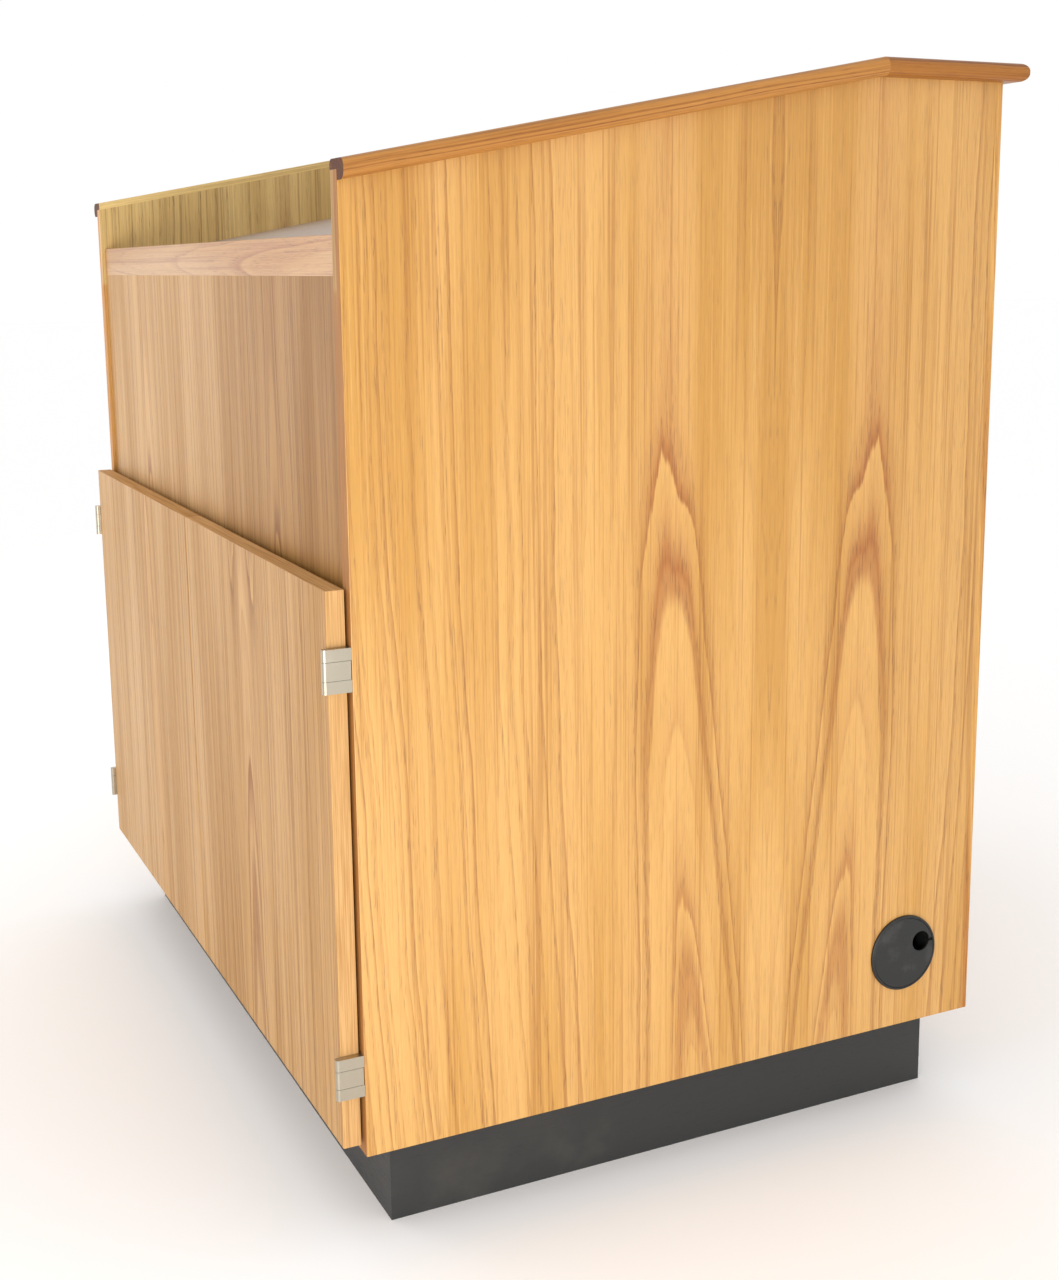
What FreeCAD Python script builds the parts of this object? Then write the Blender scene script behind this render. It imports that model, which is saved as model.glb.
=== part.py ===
"""Media cabinet: a lectern-style equipment cabinet with a sloped work surface.

Frame: millimetres, +X to the right of a user who faces the doors, +Y away from the user
towards the audience, +Z up. The origin is on the floor, at the centre of the base.
"""
import FreeCAD, Part

import os

import Sketcher

# ---------------------------------------------------------------- driving dimensions
DRIVING = [
    ("width", 1092.2, "overall width of the carcass, outside the side panels"),
    ("depth", 762.0, "depth of a side panel"),
    ("board", 19.05, "thickness of every veneered board"),
    ("toe_height", 101.6, "height of the recessed base"),
    ("toe_inset", 38.1, "how far the base stands back on all four sides"),
    ("joint_low", 1059.1, "height of the side trim's lower edge at the door side"),
    ("joint_high", 1170.6, "height of the side trim's lower edge at the audience side"),
    ("knee", 596.6, "distance from the door side to where the sloped top turns level"),
    ("strip_width", 9.525, "solid corner strip on the audience edge of a side panel"),
    ("trim_width", 38.1, "width of the solid trim"),
    ("trim_height", 19.05, "height of the solid trim"),
    ("cap_height", 9.525, "height of the trim that lies over a side panel's top edge"),
    ("trim_overhang", 19.05, "how far the audience trim stands past the side panels"),
    ("trim_round", 8.5, "rounding of the trim's long edges"),
    ("cap_round", 5.0, "rounding of the trim's top inner edge"),
    ("edge_round", 1.2, "easing of sharp board edges"),
    ("surface_low", 990.6, "height of the work surface's plane at the door side"),
    ("laminate", 1.2, "thickness of the work surface's laminate"),
    ("surface_depth", 634.0, "distance from the door side to the work surface's far end"),
    ("rail_low", 974.0, "height of the pencil rail's lower edge"),
    ("rail_height", 38.1, "height of the pencil rail"),
    ("front_setback", 5.0, "how far rail and upper panel stand behind the side panels"),
    ("panel_low", 662.0, "height of the upper panel's lower edge"),
    ("audience_setback", 6.35, "how far the audience panel stands behind the corner strips"),
    ("slot_width", 240.0, "width of the cable slot in the riser"),
    ("slot_height", 25.0, "height of the cable slot in the riser"),
    ("slot_low", 1122.0, "height of the cable slot's lower edge"),
    ("cleat_drop", 28.0, "height of the support cleats"),
    ("cleat_thickness", 16.0, "thickness of the support cleats"),
    ("door_thickness", 19.05, "thickness of a door"),
    ("door_gap", 3.0, "gap between a closed door and the side panels' edges"),
    ("door_side", 8.0, "how far a door's hinge edge stands in from the side panel's face"),
    ("door_low", 111.9, "height of a door's lower edge"),
    ("door_high", 682.4, "height of a door's upper edge"),
    ("door_seam", 2.4, "gap between the two doors"),
    ("hinge_low", 189.7, "height of a lower hinge's middle"),
    ("hinge_high", 605.8, "height of an upper hinge's middle"),
    ("hinge_height", 43.5, "height of a hinge"),
    ("knuckle_height", 18.4, "height of a hinge's middle knuckle"),
    ("knuckle_gap", 0.35, "gap between two knuckles of one hinge"),
    ("knuckle_front", 28.8, "how far a knuckle stands in front of the side panel's edge"),
    ("knuckle_round", 3.0, "rounding of a knuckle's front edges"),
    ("leaf", 2.2, "thickness of a hinge leaf"),
    ("leaf_clearance", 0.8, "gap between a moving leaf and the fixed pieces beside it"),
    ("edge_gap", 0.4, "gap between a door's hinge edge and the fixed knuckles"),
    ("leaf_length", 34.0, "length of a hinge leaf's screwed part"),
    ("pin_side", 3.1, "from the side panel's face in to the hinge pin's axis"),
    ("pin_front", 25.5, "from the side panel's edge out to the hinge pin's axis"),
    ("pin_radius", 1.6, "radius of a hinge pin"),
    ("pin_play", 0.05, "radial clearance of a pin in the moving knuckle"),
    ("screw_radius", 1.9, "radius of a wood screw's shank"),
    ("screw_hole", 2.2, "radius of a screw hole in metal"),
    ("screw_head", 3.7, "radius of a pan head"),
    ("head_height", 1.8, "height of a pan head"),
    ("screw_bite", 14.0, "how far a wood screw goes into the board"),
    ("screw_pitch", 28.0, "distance between a hinge leaf's two screws"),
    ("bumper_radius", 5.0, "radius of a door bumper"),
    ("bumper_height", 2.5, "height of a door bumper"),
    ("bumper_low", 8.0, "height of a lower bumper's centre above the door's lower edge"),
    ("bumper_high", 7.0, "height of an upper bumper's centre above the upper panel's lower edge"),
    ("strike", 1.5, "thickness of a catch's strike plate"),
    ("strike_margin", 4.0, "how far a strike plate reaches above and below its catch"),
    ("catch_width", 15.0, "width of a magnetic catch"),
    ("catch_length", 46.0, "length of a magnetic catch"),
    ("catch_height", 30.0, "height of a magnetic catch"),
    ("catch_low", 618.0, "height of a magnetic catch's lower face"),
    ("catch_gap", 0.6, "gap between a catch and its strike plate"),
    ("grommet_y", 663.4, "distance from the door side to the grommet's middle"),
    ("grommet_z", 190.4, "height of the grommet's middle"),
    ("bore_radius", 40.0, "radius of the hole that the grommet sits in"),
    ("bore_play", 0.1, "radial clearance of the grommet's sleeve in its hole"),
    ("flange_radius", 45.0, "radius of the grommet's flange"),
    ("flange_height", 3.4, "height of the grommet's flange"),
    ("sleeve_wall", 1.4, "wall of the grommet's sleeve"),
    ("sleeve_length", 24.0, "length of the grommet's sleeve"),
    ("cap_radius", 42.0, "radius of the grommet's rotating cap"),
    ("cap_play", 0.35, "clearance all round the rotating cap"),
    ("cap_floor", 0.9, "height of the recess that the cap lies in"),
    ("skirt_wall", 1.3, "wall of the cap's skirt"),
    ("skirt_length", 7.0, "length of the cap's skirt"),
    ("cable_radius", 12.0, "radius of the cable hole in the cap"),
    ("cable_y", 23.6, "the cable hole's offset from the cap's middle, along the panel"),
    ("cable_z", 10.6, "the cable hole's offset from the cap's middle, upwards"),
    ("slit_wide", 7.0, "width of the cap's slit at the cable hole"),
    ("slit_narrow", 2.6, "width of the cap's slit at the rim"),
    ("rack_spacing", 465.1, "distance between the two rows of rack holes"),
    ("rack_opening", 450.8, "clear opening between the rack rails"),
    ("rack_unit", 44.45, "height of one rack unit"),
    ("rack_units", 12, "number of rack units"),
    ("rack_first", 6.35, "first hole above the bottom of its unit"),
    ("rack_pitch", 15.875, "distance from hole to hole inside a unit"),
    ("rack_hole", 2.4, "radius of a rack hole"),
    ("rack_low", 124.0, "height of the rack rails' lower ends"),
    ("rack_front", 60.0, "distance from the door side to the rack rails' faces"),
    ("rail_steel", 2.0, "thickness of the rack rails"),
    ("rail_flange", 32.0, "depth of the rack rails' side flanges"),
    ("shelf_height", 400.0, "height of the adjustable shelf's underside"),
    ("shelf_front", 40.0, "distance from the door side to the shelf's front edge"),
    ("shelf_depth", 560.0, "depth of the adjustable shelf"),
    ("shelf_play", 1.5, "gap at each end of the adjustable shelf"),
    ("peg_radius", 2.5, "radius of a shelf peg"),
    ("peg_bite", 9.0, "depth of a shelf peg's hole"),
    ("peg_reach", 8.0, "how far a shelf peg stands out of its hole"),
    ("peg_step", 32.0, "distance between shelf peg holes"),
    ("peg_inset", 60.0, "from the shelf's ends to the peg rows"),
]

# Shelf peg holes above and below the one in use, in each row.
PEG_ROWS_EACH_WAY = 2
# Where a rack rail's screws sit, as shares of the rail's length.
RAIL_SCREW_SHARES = (0.08, 0.5, 0.92)
# An edge of a trim bar longer than this runs the length of the bar.
LONG_EDGE = 100

doc = FreeCAD.newDocument("media_cabinet")
sheet = doc.addObject("Spreadsheet::Sheet", "sizes")


class Size:
    """A length worked out from the sheet: its value now, and the expression behind it."""

    def __init__(self, value, text):
        self.value = float(value)
        self.text = text

    def __add__(self, other):
        other = as_size(other)
        return Size(self.value + other.value, f"({self.text} + {other.text})")

    def __sub__(self, other):
        other = as_size(other)
        return Size(self.value - other.value, f"({self.text} - {other.text})")

    def __mul__(self, other):
        other = as_size(other)
        return Size(self.value * other.value, f"({self.text} * {other.text})")

    def __truediv__(self, other):
        other = as_size(other)
        return Size(self.value / other.value, f"({self.text} / {other.text})")

    def __neg__(self):
        return Size(-self.value, f"(-1 * {self.text})")

    def root(self):
        return Size(self.value ** 0.5, f"sqrt({self.text})")

    __radd__ = __add__
    __rmul__ = __mul__


def as_size(number):
    """Take a plain number, such as a half or a side of -1, as a Size."""
    if isinstance(number, Size):
        return number
    return Size(number, f"({number})")


def fill_sheet():
    """Write the driving dimensions to the sheet and return them as Sizes by name."""
    sizes = {}
    for row, (name, value, meaning) in enumerate(DRIVING, start=1):
        sheet.set(f"A{row}", name)
        sheet.set(f"B{row}", str(value))
        sheet.set(f"C{row}", meaning)
        sheet.setAlias(f"B{row}", name)
        sizes[name] = Size(value, f"sizes.{name}")
    doc.recompute()
    return sizes


dim = fill_sheet()

# ---------------------------------------------------------------- derived places
half_width = dim["width"] / 2
front = -dim["depth"] / 2
back = dim["depth"] / 2
inner = half_width - dim["board"]
half_board = dim["board"] / 2
floor_top = dim["toe_height"] + dim["board"]
knee_y = front + dim["knee"]
slope = (dim["joint_high"] - dim["joint_low"]) / dim["knee"]
lean = (slope * slope + 1).root()
top_of_trim = dim["joint_high"] + dim["trim_height"]
surface_end = front + dim["surface_depth"]
setback_front = front + dim["front_setback"]
setback_back = setback_front + dim["board"]
audience_face = back - dim["audience_setback"]
audience_back = audience_face - dim["board"]
trim_end = back + dim["trim_overhang"]
trim_back = trim_end - dim["trim_width"]
door_back = front - dim["door_gap"]
door_front = door_back - dim["door_thickness"]
door_edge = half_width - dim["door_side"]
pin_x = half_width - dim["pin_side"]
pin_y = front - dim["pin_front"]
bay_centre = (inner + half_board) / 2


def offset_knee(rise):
    """Where a line `rise` above the trim's lower edge turns from sloped to level."""
    return knee_y - rise * (lean - 1) / slope


def joint_line(y):
    """Height of the side trim's lower edge on the slope at depth y."""
    return dim["joint_low"] + slope * (y - front)


def surface_line(y):
    """Height of the work surface's upper face at depth y."""
    return dim["surface_low"] + slope * (y - front)


# ---------------------------------------------------------------- drawing helpers
def new_body(label, place=(0, 0, 0)):
    """A body with its own label, moved to `place`, each coordinate bound to the sheet."""
    body = doc.addObject("PartDesign::Body", label)
    body.Label = label
    for axis, coordinate in zip("xyz", place):
        body.setExpression(f"Placement.Base.{axis}", as_size(coordinate).text)
    return body


def new_sketch(body, plane):
    """An empty sketch on one of the body's own origin planes, such as XY_Plane."""
    sketch = body.newObject("Sketcher::SketchObject", f"{body.Label}_sketch")
    features = [item for item in body.Origin.OriginFeatures if item.Role == plane]
    sketch.AttachmentSupport = [(features[0], "")]
    sketch.MapMode = "FlatFace"
    return sketch


def bind(sketch, kind, places, size, name):
    """Add a dimension to a sketch and bind it to the sheet."""
    index = sketch.addConstraint(Sketcher.Constraint(kind, *places, size.value))
    sketch.renameConstraint(index, name)
    sketch.setExpression(f"Constraints.{name}", size.text)


def draw_outline(sketch, corners):
    """Draw a closed straight-sided outline, with every corner bound to the sheet."""
    corners = [(as_size(u), as_size(v)) for u, v in corners]
    points = [FreeCAD.Vector(u.value, v.value, 0) for u, v in corners]
    first = sketch.GeometryCount
    count = len(points)
    for index in range(count):
        sketch.addGeometry(Part.LineSegment(points[index], points[(index + 1) % count]))
    for index in range(count):
        following = first + (index + 1) % count
        sketch.addConstraint(Sketcher.Constraint("Coincident", first + index, 2, following, 1))
    for index, (u, v) in enumerate(corners):
        edge = first + index
        bind(sketch, "DistanceX", (-1, 1, edge, 1), u, f"across_{edge}")
        bind(sketch, "DistanceY", (-1, 1, edge, 1), v, f"up_{edge}")


def draw_circle(sketch, u, v, radius):
    """Draw a circle, with its centre and radius bound to the sheet."""
    u, v = as_size(u), as_size(v)
    centre = FreeCAD.Vector(u.value, v.value, 0)
    circle = sketch.addGeometry(Part.Circle(centre, FreeCAD.Vector(0, 0, 1), radius.value))
    bind(sketch, "DistanceX", (-1, 1, circle, 3), u, f"across_{circle}")
    bind(sketch, "DistanceY", (-1, 1, circle, 3), v, f"up_{circle}")
    bind(sketch, "Radius", (circle,), radius, f"radius_{circle}")


def pad(body, sketch, length, backwards=False):
    """Pad a sketch by `length`, along its plane's normal unless backwards."""
    feature = body.newObject("PartDesign::Pad", f"{body.Label}_pad")
    feature.Profile = sketch
    feature.Reversed = backwards
    feature.setExpression("Length", as_size(length).text)
    sketch.Visibility = False
    doc.recompute()
    return feature


def pocket(body, sketch, length, backwards=False):
    """Cut a sketch by `length`, against its plane's normal unless backwards."""
    before = body.Shape.Volume
    feature = body.newObject("PartDesign::Pocket", f"{body.Label}_pocket")
    feature.Profile = sketch
    feature.Type = "Length"
    feature.Reversed = backwards
    feature.setExpression("Length", as_size(length).text)
    doc.recompute()
    if not body.Shape.Volume < before - 1e-3:
        raise RuntimeError(f"{feature.Label} cuts nothing")
    return feature


def round_edges(body, radius, chosen):
    """Fillet every edge of the body's last feature that `chosen` accepts."""
    base = body.Tip
    names = []
    for index, edge in enumerate(base.Shape.Edges, start=1):
        if chosen(edge):
            names.append(f"Edge{index}")
    if not names:
        raise RuntimeError(f"{body.Label} has no edge to round")
    feature = body.newObject("PartDesign::Fillet", f"{body.Label}_fillet")
    feature.Base = (base, names)
    feature.setExpression("Radius", as_size(radius).text)
    doc.recompute()
    return feature


def along(edge, axis):
    """True for a straight edge along one axis, given as x, y or z."""
    box = edge.BoundBox
    spans = {"x": box.XLength, "y": box.YLength, "z": box.ZLength}
    others = [spans[name] for name in spans if name != axis]
    return len(edge.Vertexes) == 2 and spans[axis] > 1 and max(others) < 1e-3


def near(value, target):
    """True where two lengths agree to within a hundredth of a millimetre."""
    return abs(value - target) < 1e-2


def board(label, x, y, z, rounded=None):
    """A rectangular board between two x, two y and two z; returns its body."""
    spans = []
    for low, high in (x, y, z):
        low, high = as_size(low), as_size(high)
        if low.value > high.value:
            low, high = high, low
        spans.append((low, high - low))
    body = new_body(label, [low for low, _ in spans])
    across, deep, tall = [length for _, length in spans]
    sketch = new_sketch(body, "XY_Plane")
    draw_outline(sketch, [(0, 0), (across, 0), (across, deep), (0, deep)])
    pad(body, sketch, tall)
    if rounded:
        round_edges(body, dim["edge_round"], rounded)
    return body


def slab(label, corners, x_from, x_to, rounded=None, radius=None):
    """A board whose outline is drawn side on (y, z) and padded from x_from to x_to."""
    x_from, x_to = as_size(x_from), as_size(x_to)
    leftwards = x_to.value < x_from.value
    thickness = x_from - x_to if leftwards else x_to - x_from
    body = new_body(label, (x_from, 0, 0))
    sketch = new_sketch(body, "YZ_Plane")
    draw_outline(sketch, corners)
    pad(body, sketch, thickness, backwards=leftwards)
    if rounded:
        round_edges(body, radius or dim["edge_round"], rounded)
    return body


def cylinder(label, radius, height, place, axis):
    """A plain cylinder that starts at `place` and runs along axis, such as "-y"."""
    item = doc.addObject("Part::Cylinder", label)
    item.Label = label
    item.setExpression("Radius", as_size(radius).text)
    item.setExpression("Height", as_size(height).text)
    direction = {
        "x": FreeCAD.Vector(1, 0, 0),
        "-x": FreeCAD.Vector(-1, 0, 0),
        "y": FreeCAD.Vector(0, 1, 0),
        "-y": FreeCAD.Vector(0, -1, 0),
        "z": FreeCAD.Vector(0, 0, 1),
    }[axis]
    turn = FreeCAD.Rotation(FreeCAD.Vector(0, 0, 1), direction)
    item.Placement = FreeCAD.Placement(FreeCAD.Vector(0, 0, 0), turn)
    for name, coordinate in zip("xyz", place):
        item.setExpression(f"Placement.Base.{name}", as_size(coordinate).text)
    return item


def side_axis(side):
    """Name of the direction that points outwards on one side of the cabinet."""
    return "x" if side > 0 else "-x"


def screw(label, place, axis, opposite, shank):
    """A pan-head screw: its head lies on `place` and its shank runs along axis."""
    head = cylinder(f"{label}_head", dim["screw_head"], dim["head_height"], place, opposite)
    stem = cylinder(f"{label}_stem", dim["screw_radius"], shank, place, axis)
    joined = doc.addObject("Part::MultiFuse", f"{label}_joined")
    joined.Shapes = [head, stem]
    joined.Refine = False
    return joined


def group(label, members):
    """One node made of several separate solids of the same kind."""
    item = doc.addObject("Part::Compound", label)
    item.Label = label
    item.Links = members
    return item


SIDES = {"right": 1, "left": -1}
NODES = []


def keep(item):
    """List a finished sub-part for export, and return it."""
    NODES.append(item)
    return item


# ---------------------------------------------------------------- base
def make_base():
    """The recessed base: four black boards on edge and a sleeper down the middle."""
    edge_x = half_width - dim["toe_inset"]
    inside_x = edge_x - dim["board"]
    low_y = front + dim["toe_inset"]
    high_y = back - dim["toe_inset"]
    height = (0, dim["toe_height"])
    for name, side in SIDES.items():
        keep(board(f"toe_board_{name}", (inside_x * side, edge_x * side), (low_y, high_y), height))
    between = (-inside_x, inside_x)
    keep(board("toe_board_door_side", between, (low_y, low_y + dim["board"]), height))
    keep(board("toe_board_audience_side", between, (high_y - dim["board"], high_y), height))
    inside_y = (low_y + dim["board"], high_y - dim["board"])
    keep(board("base_sleeper", (-half_board, half_board), inside_y, height))


# ---------------------------------------------------------------- carcass
def make_side_panel(name, side):
    """A side panel: sloped at the top, level behind the knee, with its holes."""
    strip = back - dim["strip_width"]
    cap = dim["cap_height"]
    corners = [
        (front, dim["toe_height"]),
        (strip, dim["toe_height"]),
        (strip, dim["joint_high"] + cap),
        (offset_knee(cap), dim["joint_high"] + cap),
        (front, dim["joint_low"] + cap * lean),
    ]
    panel = slab(f"side_panel_{name}", corners, inner * side, half_width * side)
    if side > 0:
        hole = new_sketch(panel, "YZ_Plane")
        draw_circle(hole, front + dim["grommet_y"], dim["grommet_z"], dim["bore_radius"])
        pocket(panel, hole, dim["board"], backwards=True)
    else:
        cut_peg_holes(panel, backwards=False)
    face_x = (half_width - inner).value * side

    def outer_front(edge):
        box = edge.BoundBox
        return along(edge, "z") and near(box.XMin, face_x) and near(box.YMin, front.value)

    round_edges(panel, dim["edge_round"], outer_front)
    keep(panel)


def make_corner_strip(name, side):
    """The solid strip on a side panel's audience edge, eased on the outside."""
    low = back - dim["strip_width"]
    top = dim["joint_high"] + dim["cap_height"]
    corners = [(low, dim["toe_height"]), (back, dim["toe_height"]), (back, top), (low, top)]
    face_x = (half_width - inner).value * side

    def outer_corner(edge):
        box = edge.BoundBox
        return along(edge, "z") and near(box.XMin, face_x) and near(box.YMin, back.value)

    keep(slab(
        f"corner_strip_{name}", corners, inner * side, half_width * side,
        rounded=outer_corner, radius=dim["edge_round"] * 2,
    ))


def make_partition():
    """The upright that parts the two bays and carries the work surface."""
    under = (dim["board"] + dim["laminate"]) * lean
    corners = [
        (setback_back, floor_top),
        (surface_end, floor_top),
        (surface_end, surface_line(surface_end) - under),
        (setback_back, surface_line(setback_back) - under),
    ]
    panel = slab("centre_partition", corners, -half_board, half_board)
    cut_peg_holes(panel, backwards=True)
    keep(panel)


def peg_places():
    """Depth and height of each shelf peg row's middle hole."""
    first = front + dim["shelf_front"] + dim["peg_inset"]
    last = front + dim["shelf_front"] + dim["shelf_depth"] - dim["peg_inset"]
    level = dim["shelf_height"] - dim["peg_radius"]
    return [(first, level), (last, level)]


def cut_peg_holes(body, backwards):
    """Two columns of blind peg holes in the face of a board that looks into the bay."""
    sketch = new_sketch(body, "YZ_Plane")
    for depth, height in peg_places():
        for step in range(-PEG_ROWS_EACH_WAY, PEG_ROWS_EACH_WAY + 1):
            draw_circle(sketch, depth, height + dim["peg_step"] * step, dim["peg_radius"])
    pocket(body, sketch, dim["peg_bite"], backwards=backwards)


def make_carcass():
    """Panels, floor, front rail and the boards that close the cabinet."""
    for name, side in SIDES.items():
        make_side_panel(name, side)
        make_corner_strip(name, side)
    between = (-inner, inner)
    keep(board("bottom_panel", between, (front, audience_back), (dim["toe_height"], floor_top)))
    make_partition()
    keep(board(
        "audience_panel", between, (audience_back, audience_face),
        (dim["toe_height"], dim["joint_high"]),
    ))
    keep(board("upper_panel", between, (setback_front, setback_back), (dim["panel_low"], dim["rail_low"])))
    rail_top = dim["rail_low"] + dim["rail_height"]

    def rail_front(edge):
        return along(edge, "x") and near(edge.BoundBox.ZMin, dim["rail_height"].value)

    rail = board(
        "pencil_rail", between, (setback_front, setback_back),
        (dim["rail_low"], rail_top), rounded=rail_front,
    )
    keep(rail)


def make_work_surface():
    """The sloped board with its laminate, the cleats under it and the riser behind it."""
    skin = dim["laminate"] * lean
    under = (dim["board"] + dim["laminate"]) * lean
    near_y, far_y = setback_back, surface_end
    keep(slab("work_surface_laminate", [
        (near_y, surface_line(near_y) - skin),
        (far_y, surface_line(far_y) - skin),
        (far_y, surface_line(far_y)),
        (near_y, surface_line(near_y)),
    ], -inner, inner))
    keep(slab("work_surface_core", [
        (near_y, surface_line(near_y) - under),
        (far_y, surface_line(far_y) - under),
        (far_y, surface_line(far_y) - skin),
        (near_y, surface_line(near_y) - skin),
    ], -inner, inner))
    cleat_start = setback_back + dim["board"]
    cleat_end = surface_end - dim["board"]
    for name, side in SIDES.items():
        keep(slab(f"surface_cleat_{name}", [
            (cleat_start, surface_line(cleat_start) - under - dim["cleat_drop"]),
            (cleat_end, surface_line(cleat_end) - under - dim["cleat_drop"]),
            (cleat_end, surface_line(cleat_end) - under),
            (cleat_start, surface_line(cleat_start) - under),
        ], inner * side, (inner - dim["cleat_thickness"]) * side))
    riser_front = surface_end - dim["board"]
    riser = slab("riser", [
        (riser_front, surface_line(riser_front)),
        (surface_end, surface_line(surface_end)),
        (surface_end, dim["joint_high"]),
        (riser_front, dim["joint_high"]),
    ], -inner, inner)
    slot = new_sketch(riser, "XZ_Plane")
    left = inner - dim["slot_width"] / 2
    right = inner + dim["slot_width"] / 2
    slot_high = dim["slot_low"] + dim["slot_height"]
    draw_outline(slot, [
        (left, dim["slot_low"]),
        (right, dim["slot_low"]),
        (right, slot_high),
        (left, slot_high),
    ])
    pocket(riser, slot, surface_end, backwards=False)
    keep(riser)


# ---------------------------------------------------------------- top and trim
def make_top_shelf():
    """The level shelf behind the work surface."""
    low_y = offset_knee(dim["trim_height"])

    def shelf_front(edge):
        return along(edge, "x") and near(edge.BoundBox.YMin, 0)

    keep(board(
        "top_shelf", (-inner, inner), (low_y, trim_back),
        (dim["joint_high"], top_of_trim), rounded=shelf_front,
    ))


def make_side_trims(name, side):
    """The trim over one side panel: a sloped bar and a level bar, mitred at the knee."""
    cap, tall = dim["cap_height"], dim["trim_height"]
    outer = inner + dim["trim_width"]
    width = dim["trim_width"].value * side
    sloped = slab(f"side_trim_slope_{name}", [
        (front, dim["joint_low"]),
        (knee_y, dim["joint_high"]),
        (offset_knee(tall), top_of_trim),
        (front, dim["joint_low"] + tall * lean),
    ], inner * side, outer * side)
    rabbet = new_sketch(sloped, "YZ_Plane")
    draw_outline(rabbet, [
        (front, dim["joint_low"]),
        (knee_y, dim["joint_high"]),
        (offset_knee(cap), dim["joint_high"] + cap),
        (front, dim["joint_low"] + cap * lean),
    ])
    pocket(sloped, rabbet, dim["board"], backwards=side > 0)

    level = slab(f"side_trim_level_{name}", [
        (knee_y, dim["joint_high"]),
        (trim_end, dim["joint_high"]),
        (trim_end, top_of_trim),
        (offset_knee(tall), top_of_trim),
    ], inner * side, outer * side)
    groove = new_sketch(level, "YZ_Plane")
    draw_outline(groove, [
        (knee_y, dim["joint_high"]),
        (back, dim["joint_high"]),
        (back, dim["joint_high"] + cap),
        (offset_knee(cap), dim["joint_high"] + cap),
    ])
    pocket(level, groove, dim["board"], backwards=side > 0)

    for bar in (sloped, level):
        def long_outer(edge):
            box = edge.BoundBox
            return box.YLength > LONG_EDGE and near(box.XMin, width) and near(box.XMax, width)

        def long_inner_top(edge):
            box = edge.BoundBox
            high = max(vertex.Z for vertex in edge.Vertexes)
            return box.YLength > LONG_EDGE and near(box.XMax, 0) and near(high, top_of_trim.value)

        round_edges(bar, dim["trim_round"], long_outer)
        if bar is sloped:
            round_edges(bar, dim["cap_round"], long_inner_top)

    mitre = new_sketch(level, "XY_Plane")
    draw_outline(mitre, [
        (0, trim_back),
        (dim["trim_width"] * side, trim_end),
        (dim["trim_width"] * side, trim_end + dim["board"]),
        (0, trim_end + dim["board"]),
    ])
    pocket(level, mitre, top_of_trim + dim["board"], backwards=True)
    keep(sloped)
    keep(level)


def make_audience_trim():
    """The rounded bar along the audience side, mitred to the two side trims."""
    outer = inner + dim["trim_width"]
    bar = new_body("audience_trim", (0, 0, dim["joint_high"]))
    plan = new_sketch(bar, "XY_Plane")
    draw_outline(plan, [(-outer, trim_end), (-inner, trim_back), (inner, trim_back), (outer, trim_end)])
    pad(bar, plan, dim["trim_height"])

    def long_edge(edge):
        return along(edge, "x") and near(edge.BoundBox.YMin, trim_end.value)

    round_edges(bar, dim["trim_round"], long_edge)
    for side in SIDES.values():
        notch = new_sketch(bar, "XY_Plane")
        low_x, high_x = inner * side, half_width * side
        draw_outline(notch, [(low_x, trim_back), (high_x, trim_back), (high_x, back), (low_x, back)])
        pocket(bar, notch, dim["cap_height"], backwards=True)
    keep(bar)


# ---------------------------------------------------------------- doors and hinges
def make_door(name, side):
    """A door with eased front edges, its strike plate and its bumpers."""
    seam = dim["door_seam"] / 2

    def front_edges(edge):
        return near(edge.BoundBox.YMax, 0)

    keep(board(
        f"door_{name}", (seam * side, door_edge * side), (door_front, door_back),
        (dim["door_low"], dim["door_high"]), rounded=front_edges,
    ))
    plate_low = dim["catch_low"] - dim["strike_margin"]
    plate_high = dim["catch_low"] + dim["catch_height"] + dim["strike_margin"]
    plate_x = (half_board * side, (half_board + dim["catch_width"]) * side)
    keep(board(
        f"strike_plate_{name}", plate_x, (door_back, door_back + dim["strike"]),
        (plate_low, plate_high),
    ))
    bumper_x = (half_board + dim["catch_width"] * 2) * side
    levels = (dim["door_low"] + dim["bumper_low"], dim["panel_low"] + dim["bumper_high"])
    bumpers = []
    for index, height in enumerate(levels):
        bumpers.append(cylinder(
            f"bumper_{name}_{index}", dim["bumper_radius"], dim["bumper_height"],
            (bumper_x, door_back, height), "y",
        ))
    keep(group(f"door_bumpers_{name}", bumpers))


def link(body, low, high, x, y):
    """Pad a rectangular part of a hinge leaf between two x, two y and two z."""
    outline = new_sketch(body, "XY_Plane")
    outline.setExpression("AttachmentOffset.Base.z", as_size(low).text)
    draw_outline(outline, [(x[0], y[0]), (x[1], y[0]), (x[1], y[1]), (x[0], y[1])])
    pad(body, outline, as_size(high) - low)


def knuckle(body, side, low, high, start_x, back_y):
    """Pad one knuckle: a block from `start_x` out to the panel's face, in front of `back_y`."""
    face_y = front - dim["knuckle_front"]
    link(body, low, high, (start_x * side, half_width * side), (face_y, back_y))


def bore_knuckles(body, side, low, high, radius):
    """Bore a leaf's knuckles for the pin, from `low` up to `high`."""
    hole = new_sketch(body, "XY_Plane")
    hole.setExpression("AttachmentOffset.Base.z", as_size(low).text)
    draw_circle(hole, pin_x * side, pin_y, radius)
    pocket(body, hole, as_size(high) - low, backwards=True)


def round_knuckles(body):
    """Round the upright front edges of a leaf's knuckles."""
    face_y = (front - dim["knuckle_front"]).value

    def front_upright(edge):
        return along(edge, "z") and near(edge.BoundBox.YMin, face_y)

    round_edges(body, dim["knuckle_round"], front_upright)


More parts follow.
